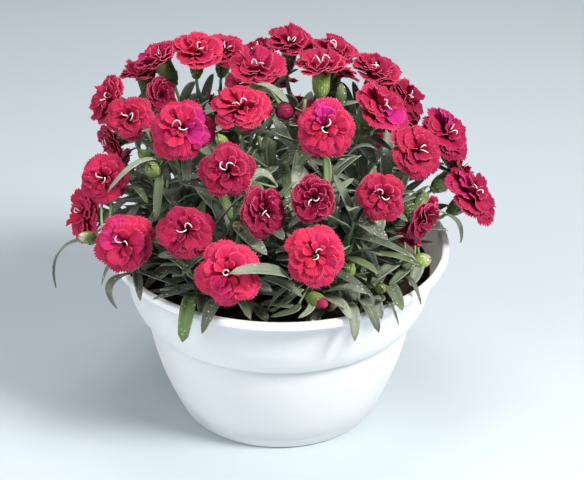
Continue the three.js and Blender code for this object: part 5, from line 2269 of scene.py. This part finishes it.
@dataclass(frozen=True)
class BowlFinish(Finish):
    """Moulded white plastic, faintly uneven, and stained by soil where dirt is above 0."""

    white: Colour = (0.88, 0.88, 0.885)
    shade: Colour = (0.7, 0.7, 0.72)
    scuff: Colour = (0.62, 0.6, 0.58)
    stain: Colour = (0.62, 0.5, 0.41)
    dirt: float = 0.0

    def paint(self, sketch: Sketch) -> dict[str, object]:
        """Paints the plastic, its scuffs and its stain."""
        wide, fine = sketch.mottle(14.0), sketch.mottle(210.0)
        scuffs = sketch.times(sketch.specks(120.0, 0.12), 0.25)
        colour = sketch.coats(self.white, (sketch.times(wide, 0.06), self.shade), (scuffs, self.scuff))
        if self.dirt:
            height = sketch.node("ShaderNodeSeparateXYZ", {0: sketch.position()}).outputs[2]
            low = sketch.span(height, 0.146, 0.124)
            patchy = sketch.times(low, sketch.span(fine, 0.15, 0.8, 0.45, 1.0))
            colour = sketch.coats(colour, (sketch.times(patchy, self.dirt), self.stain))
        return {
            "Base Color": colour,
            "Roughness": sketch.span(fine, 0, 1, 0.3, 0.42),
            "Subsurface Weight": 0.8,
            "Subsurface Radius": (1.0, 0.92, 0.85),
            "Subsurface Scale": 0.007,
            "Normal": sketch.bump(sketch.plus(wide, sketch.times(fine, 0.1)), 0.08, 0.001),
        }


@dataclass(frozen=True)
class SoilFinish(Finish):
    """Moist dark peat with paler fibres and a few tan chips."""

    black: Colour = (0.012, 0.008, 0.006)
    brown: Colour = (0.045, 0.027, 0.018)
    tan: Colour = (0.24, 0.15, 0.09)

    def paint(self, sketch: Sketch) -> dict[str, object]:
        """Paints the peat and its chips."""
        pale, cloud, grit = sketch.wash()[0], sketch.mottle(130.0), sketch.mottle(520.0)
        chips = sketch.times(sketch.specks(260.0, 0.22), 0.12)
        return {
            "Base Color": sketch.coats(self.black, (cloud, self.brown), (chips, self.tan), (pale, self.tan)),
            "Roughness": 0.95,
            "Specular IOR Level": 0.25,
            "Normal": sketch.bump(sketch.plus(cloud, grit), 0.8, 0.0015),
        }


@dataclass(frozen=True)
class FloorFinish(Finish):
    """A plain pale floor."""

    pale: Colour = (0.5, 0.56, 0.6)

    def paint(self, sketch: Sketch) -> dict[str, object]:
        """The floor's plain colour and roughness."""
        return {"Base Color": (*self.pale, 1), "Roughness": 0.8}


# ---- the studio


@dataclass(frozen=True)
class Studio:
    """The camera, the lights and the floor."""

    elevation: float = 28.12
    roll: float = 0.00827
    distance: float = 1.2
    aim_height: float = 0.13725
    lens: float = 98.32
    shift: float = 0.0208
    floor_size: float = 6.0
    ambient: float = 0.18

    def camera(self) -> None:
        """Adds the camera and makes it the scene's."""
        rise = math.radians(self.elevation)
        back = Vector((0, -math.cos(rise), math.sin(rise)))
        across, up = Vector((1, 0, 0)), Vector((0, math.sin(rise), math.cos(rise)))
        cos, sin = math.cos(self.roll), math.sin(self.roll)
        right, top = across * cos + up * sin, up * cos - across * sin
        lens = bpy.data.cameras.new("camera")
        lens.lens = self.lens
        lens.sensor_width = 36
        lens.shift_x = self.shift
        camera = bpy.data.objects.new("camera", lens)
        camera.matrix_world = Matrix((right, top, back)).transposed().to_4x4()
        camera.location = Vector((0, 0, self.aim_height)) + back * self.distance
        bpy.context.scene.collection.objects.link(camera)
        bpy.context.scene.camera = camera

    def lamp(
        self, name: str, place: tuple[float, float, float], size: float, power: float, colour: Colour
    ) -> None:
        """Adds a soft square lamp that points at the plant.

        Args:
            name: Its name.
            place: Its place in metres.
            size: Its side in metres.
            power: Its power in watts.
            colour: Its colour.
        """
        light = bpy.data.lights.new(name, "AREA")
        light.size = size
        light.energy = power
        light.color = colour
        lamp = bpy.data.objects.new(name, light)
        lamp.location = place
        aim = Vector((0, 0, 0.15)) - Vector(place)
        lamp.rotation_euler = aim.to_track_quat("-Z", "Y").to_euler()
        bpy.context.scene.collection.objects.link(lamp)

    def build(self) -> None:
        """Adds the floor, the lamps and the pale surroundings."""
        clay = Clay()
        half = 0.5 * self.floor_size / MM
        clay.sheet(2, 2, lambda a, s: (half * a, half * (2 * s - 1), 0))
        floor = clay.to_object("floor")
        floor.data.materials.append(FloorFinish("pale_floor").material())
        self.lamp("key", (1.0, -0.75, 1.35), 0.45, 43, (1.0, 0.985, 0.96))
        self.lamp("fill", (-1.3, -1.0, 0.9), 1.4, 19, (0.96, 0.98, 1.0))
        self.lamp("top", (-0.1, 0.3, 1.9), 1.0, 16, (1.0, 1.0, 1.0))
        world = bpy.data.worlds.new("surroundings")
        world.use_nodes = True
        background = world.node_tree.nodes["Background"]
        background.inputs["Color"].default_value = (0.92, 0.96, 1.0, 1)
        background.inputs["Strength"].default_value = self.ambient
        bpy.context.scene.world = world
        bpy.context.scene.view_settings.view_transform = "Standard"


# ---- the part


def report(piece: Piece) -> None:
    """Logs a piece and its faces."""
    LOG.info("%s: %d faces", piece.name, len(piece.data.polygons))


def main() -> None:
    """Builds every piece in order."""
    logging.basicConfig(level=logging.INFO, format="%(name)s %(message)s")
    studio = Studio()
    studio.camera()
    build_effects()

    bowl = Bowl()
    plastic = BowlFinish("white_plastic")
    report(bowl.build(plastic, BowlFinish("soiled_plastic", dirt=0.55)))
    soil = Soil()
    peat = SoilFinish("moist_peat")
    report(soil.build(peat))
    report(soil.build_crumbs(peat))

    growth = Growth(Habit(), bowl)
    growth.grow()
    petals = [
        PetalFinish("petal_face"),
        PetalFinish("petal_back", deep=(0.19, 0.002, 0.03), bright=(0.52, 0.02, 0.1), rim_share=0.25),
        StyleFinish("style_white"),
    ]
    for number, seat in enumerate(SEATS, 1):
        report(Bloom(seat, number).build(petals))
    dark, rosy = (0.075, 0.001, 0.007), (0.5, 0.03, 0.12)
    furled = [PetalFinish("furled_petals", deep=dark, bright=rosy, painted_light_patch=rosy, gloss=0.25)]
    red = [(bud, stalk) for _, bud, stalk, _ in growth.buds if bud.ball]
    for number, (bud, stalk) in enumerate(red, 1):
        report(BudPetals(number, bud, stalk).build(furled))
    stems = [StemFinish("green_stem"), CalyxFinish("calyx_green")]
    leaves = [
        LeafFinish("leaf_face"),
        LeafFinish("leaf_back", grey=(0.06, 0.08, 0.055), bloom=(0.37, 0.42, 0.34), spots=0.2),
    ]
    for clump in range(len(growth.crowns)):
        report(Stalks().build(growth, clump, stems))
        report(Foliage().build(growth, clump, leaves))

    studio.build()


if __name__ == "__main__":
    main()
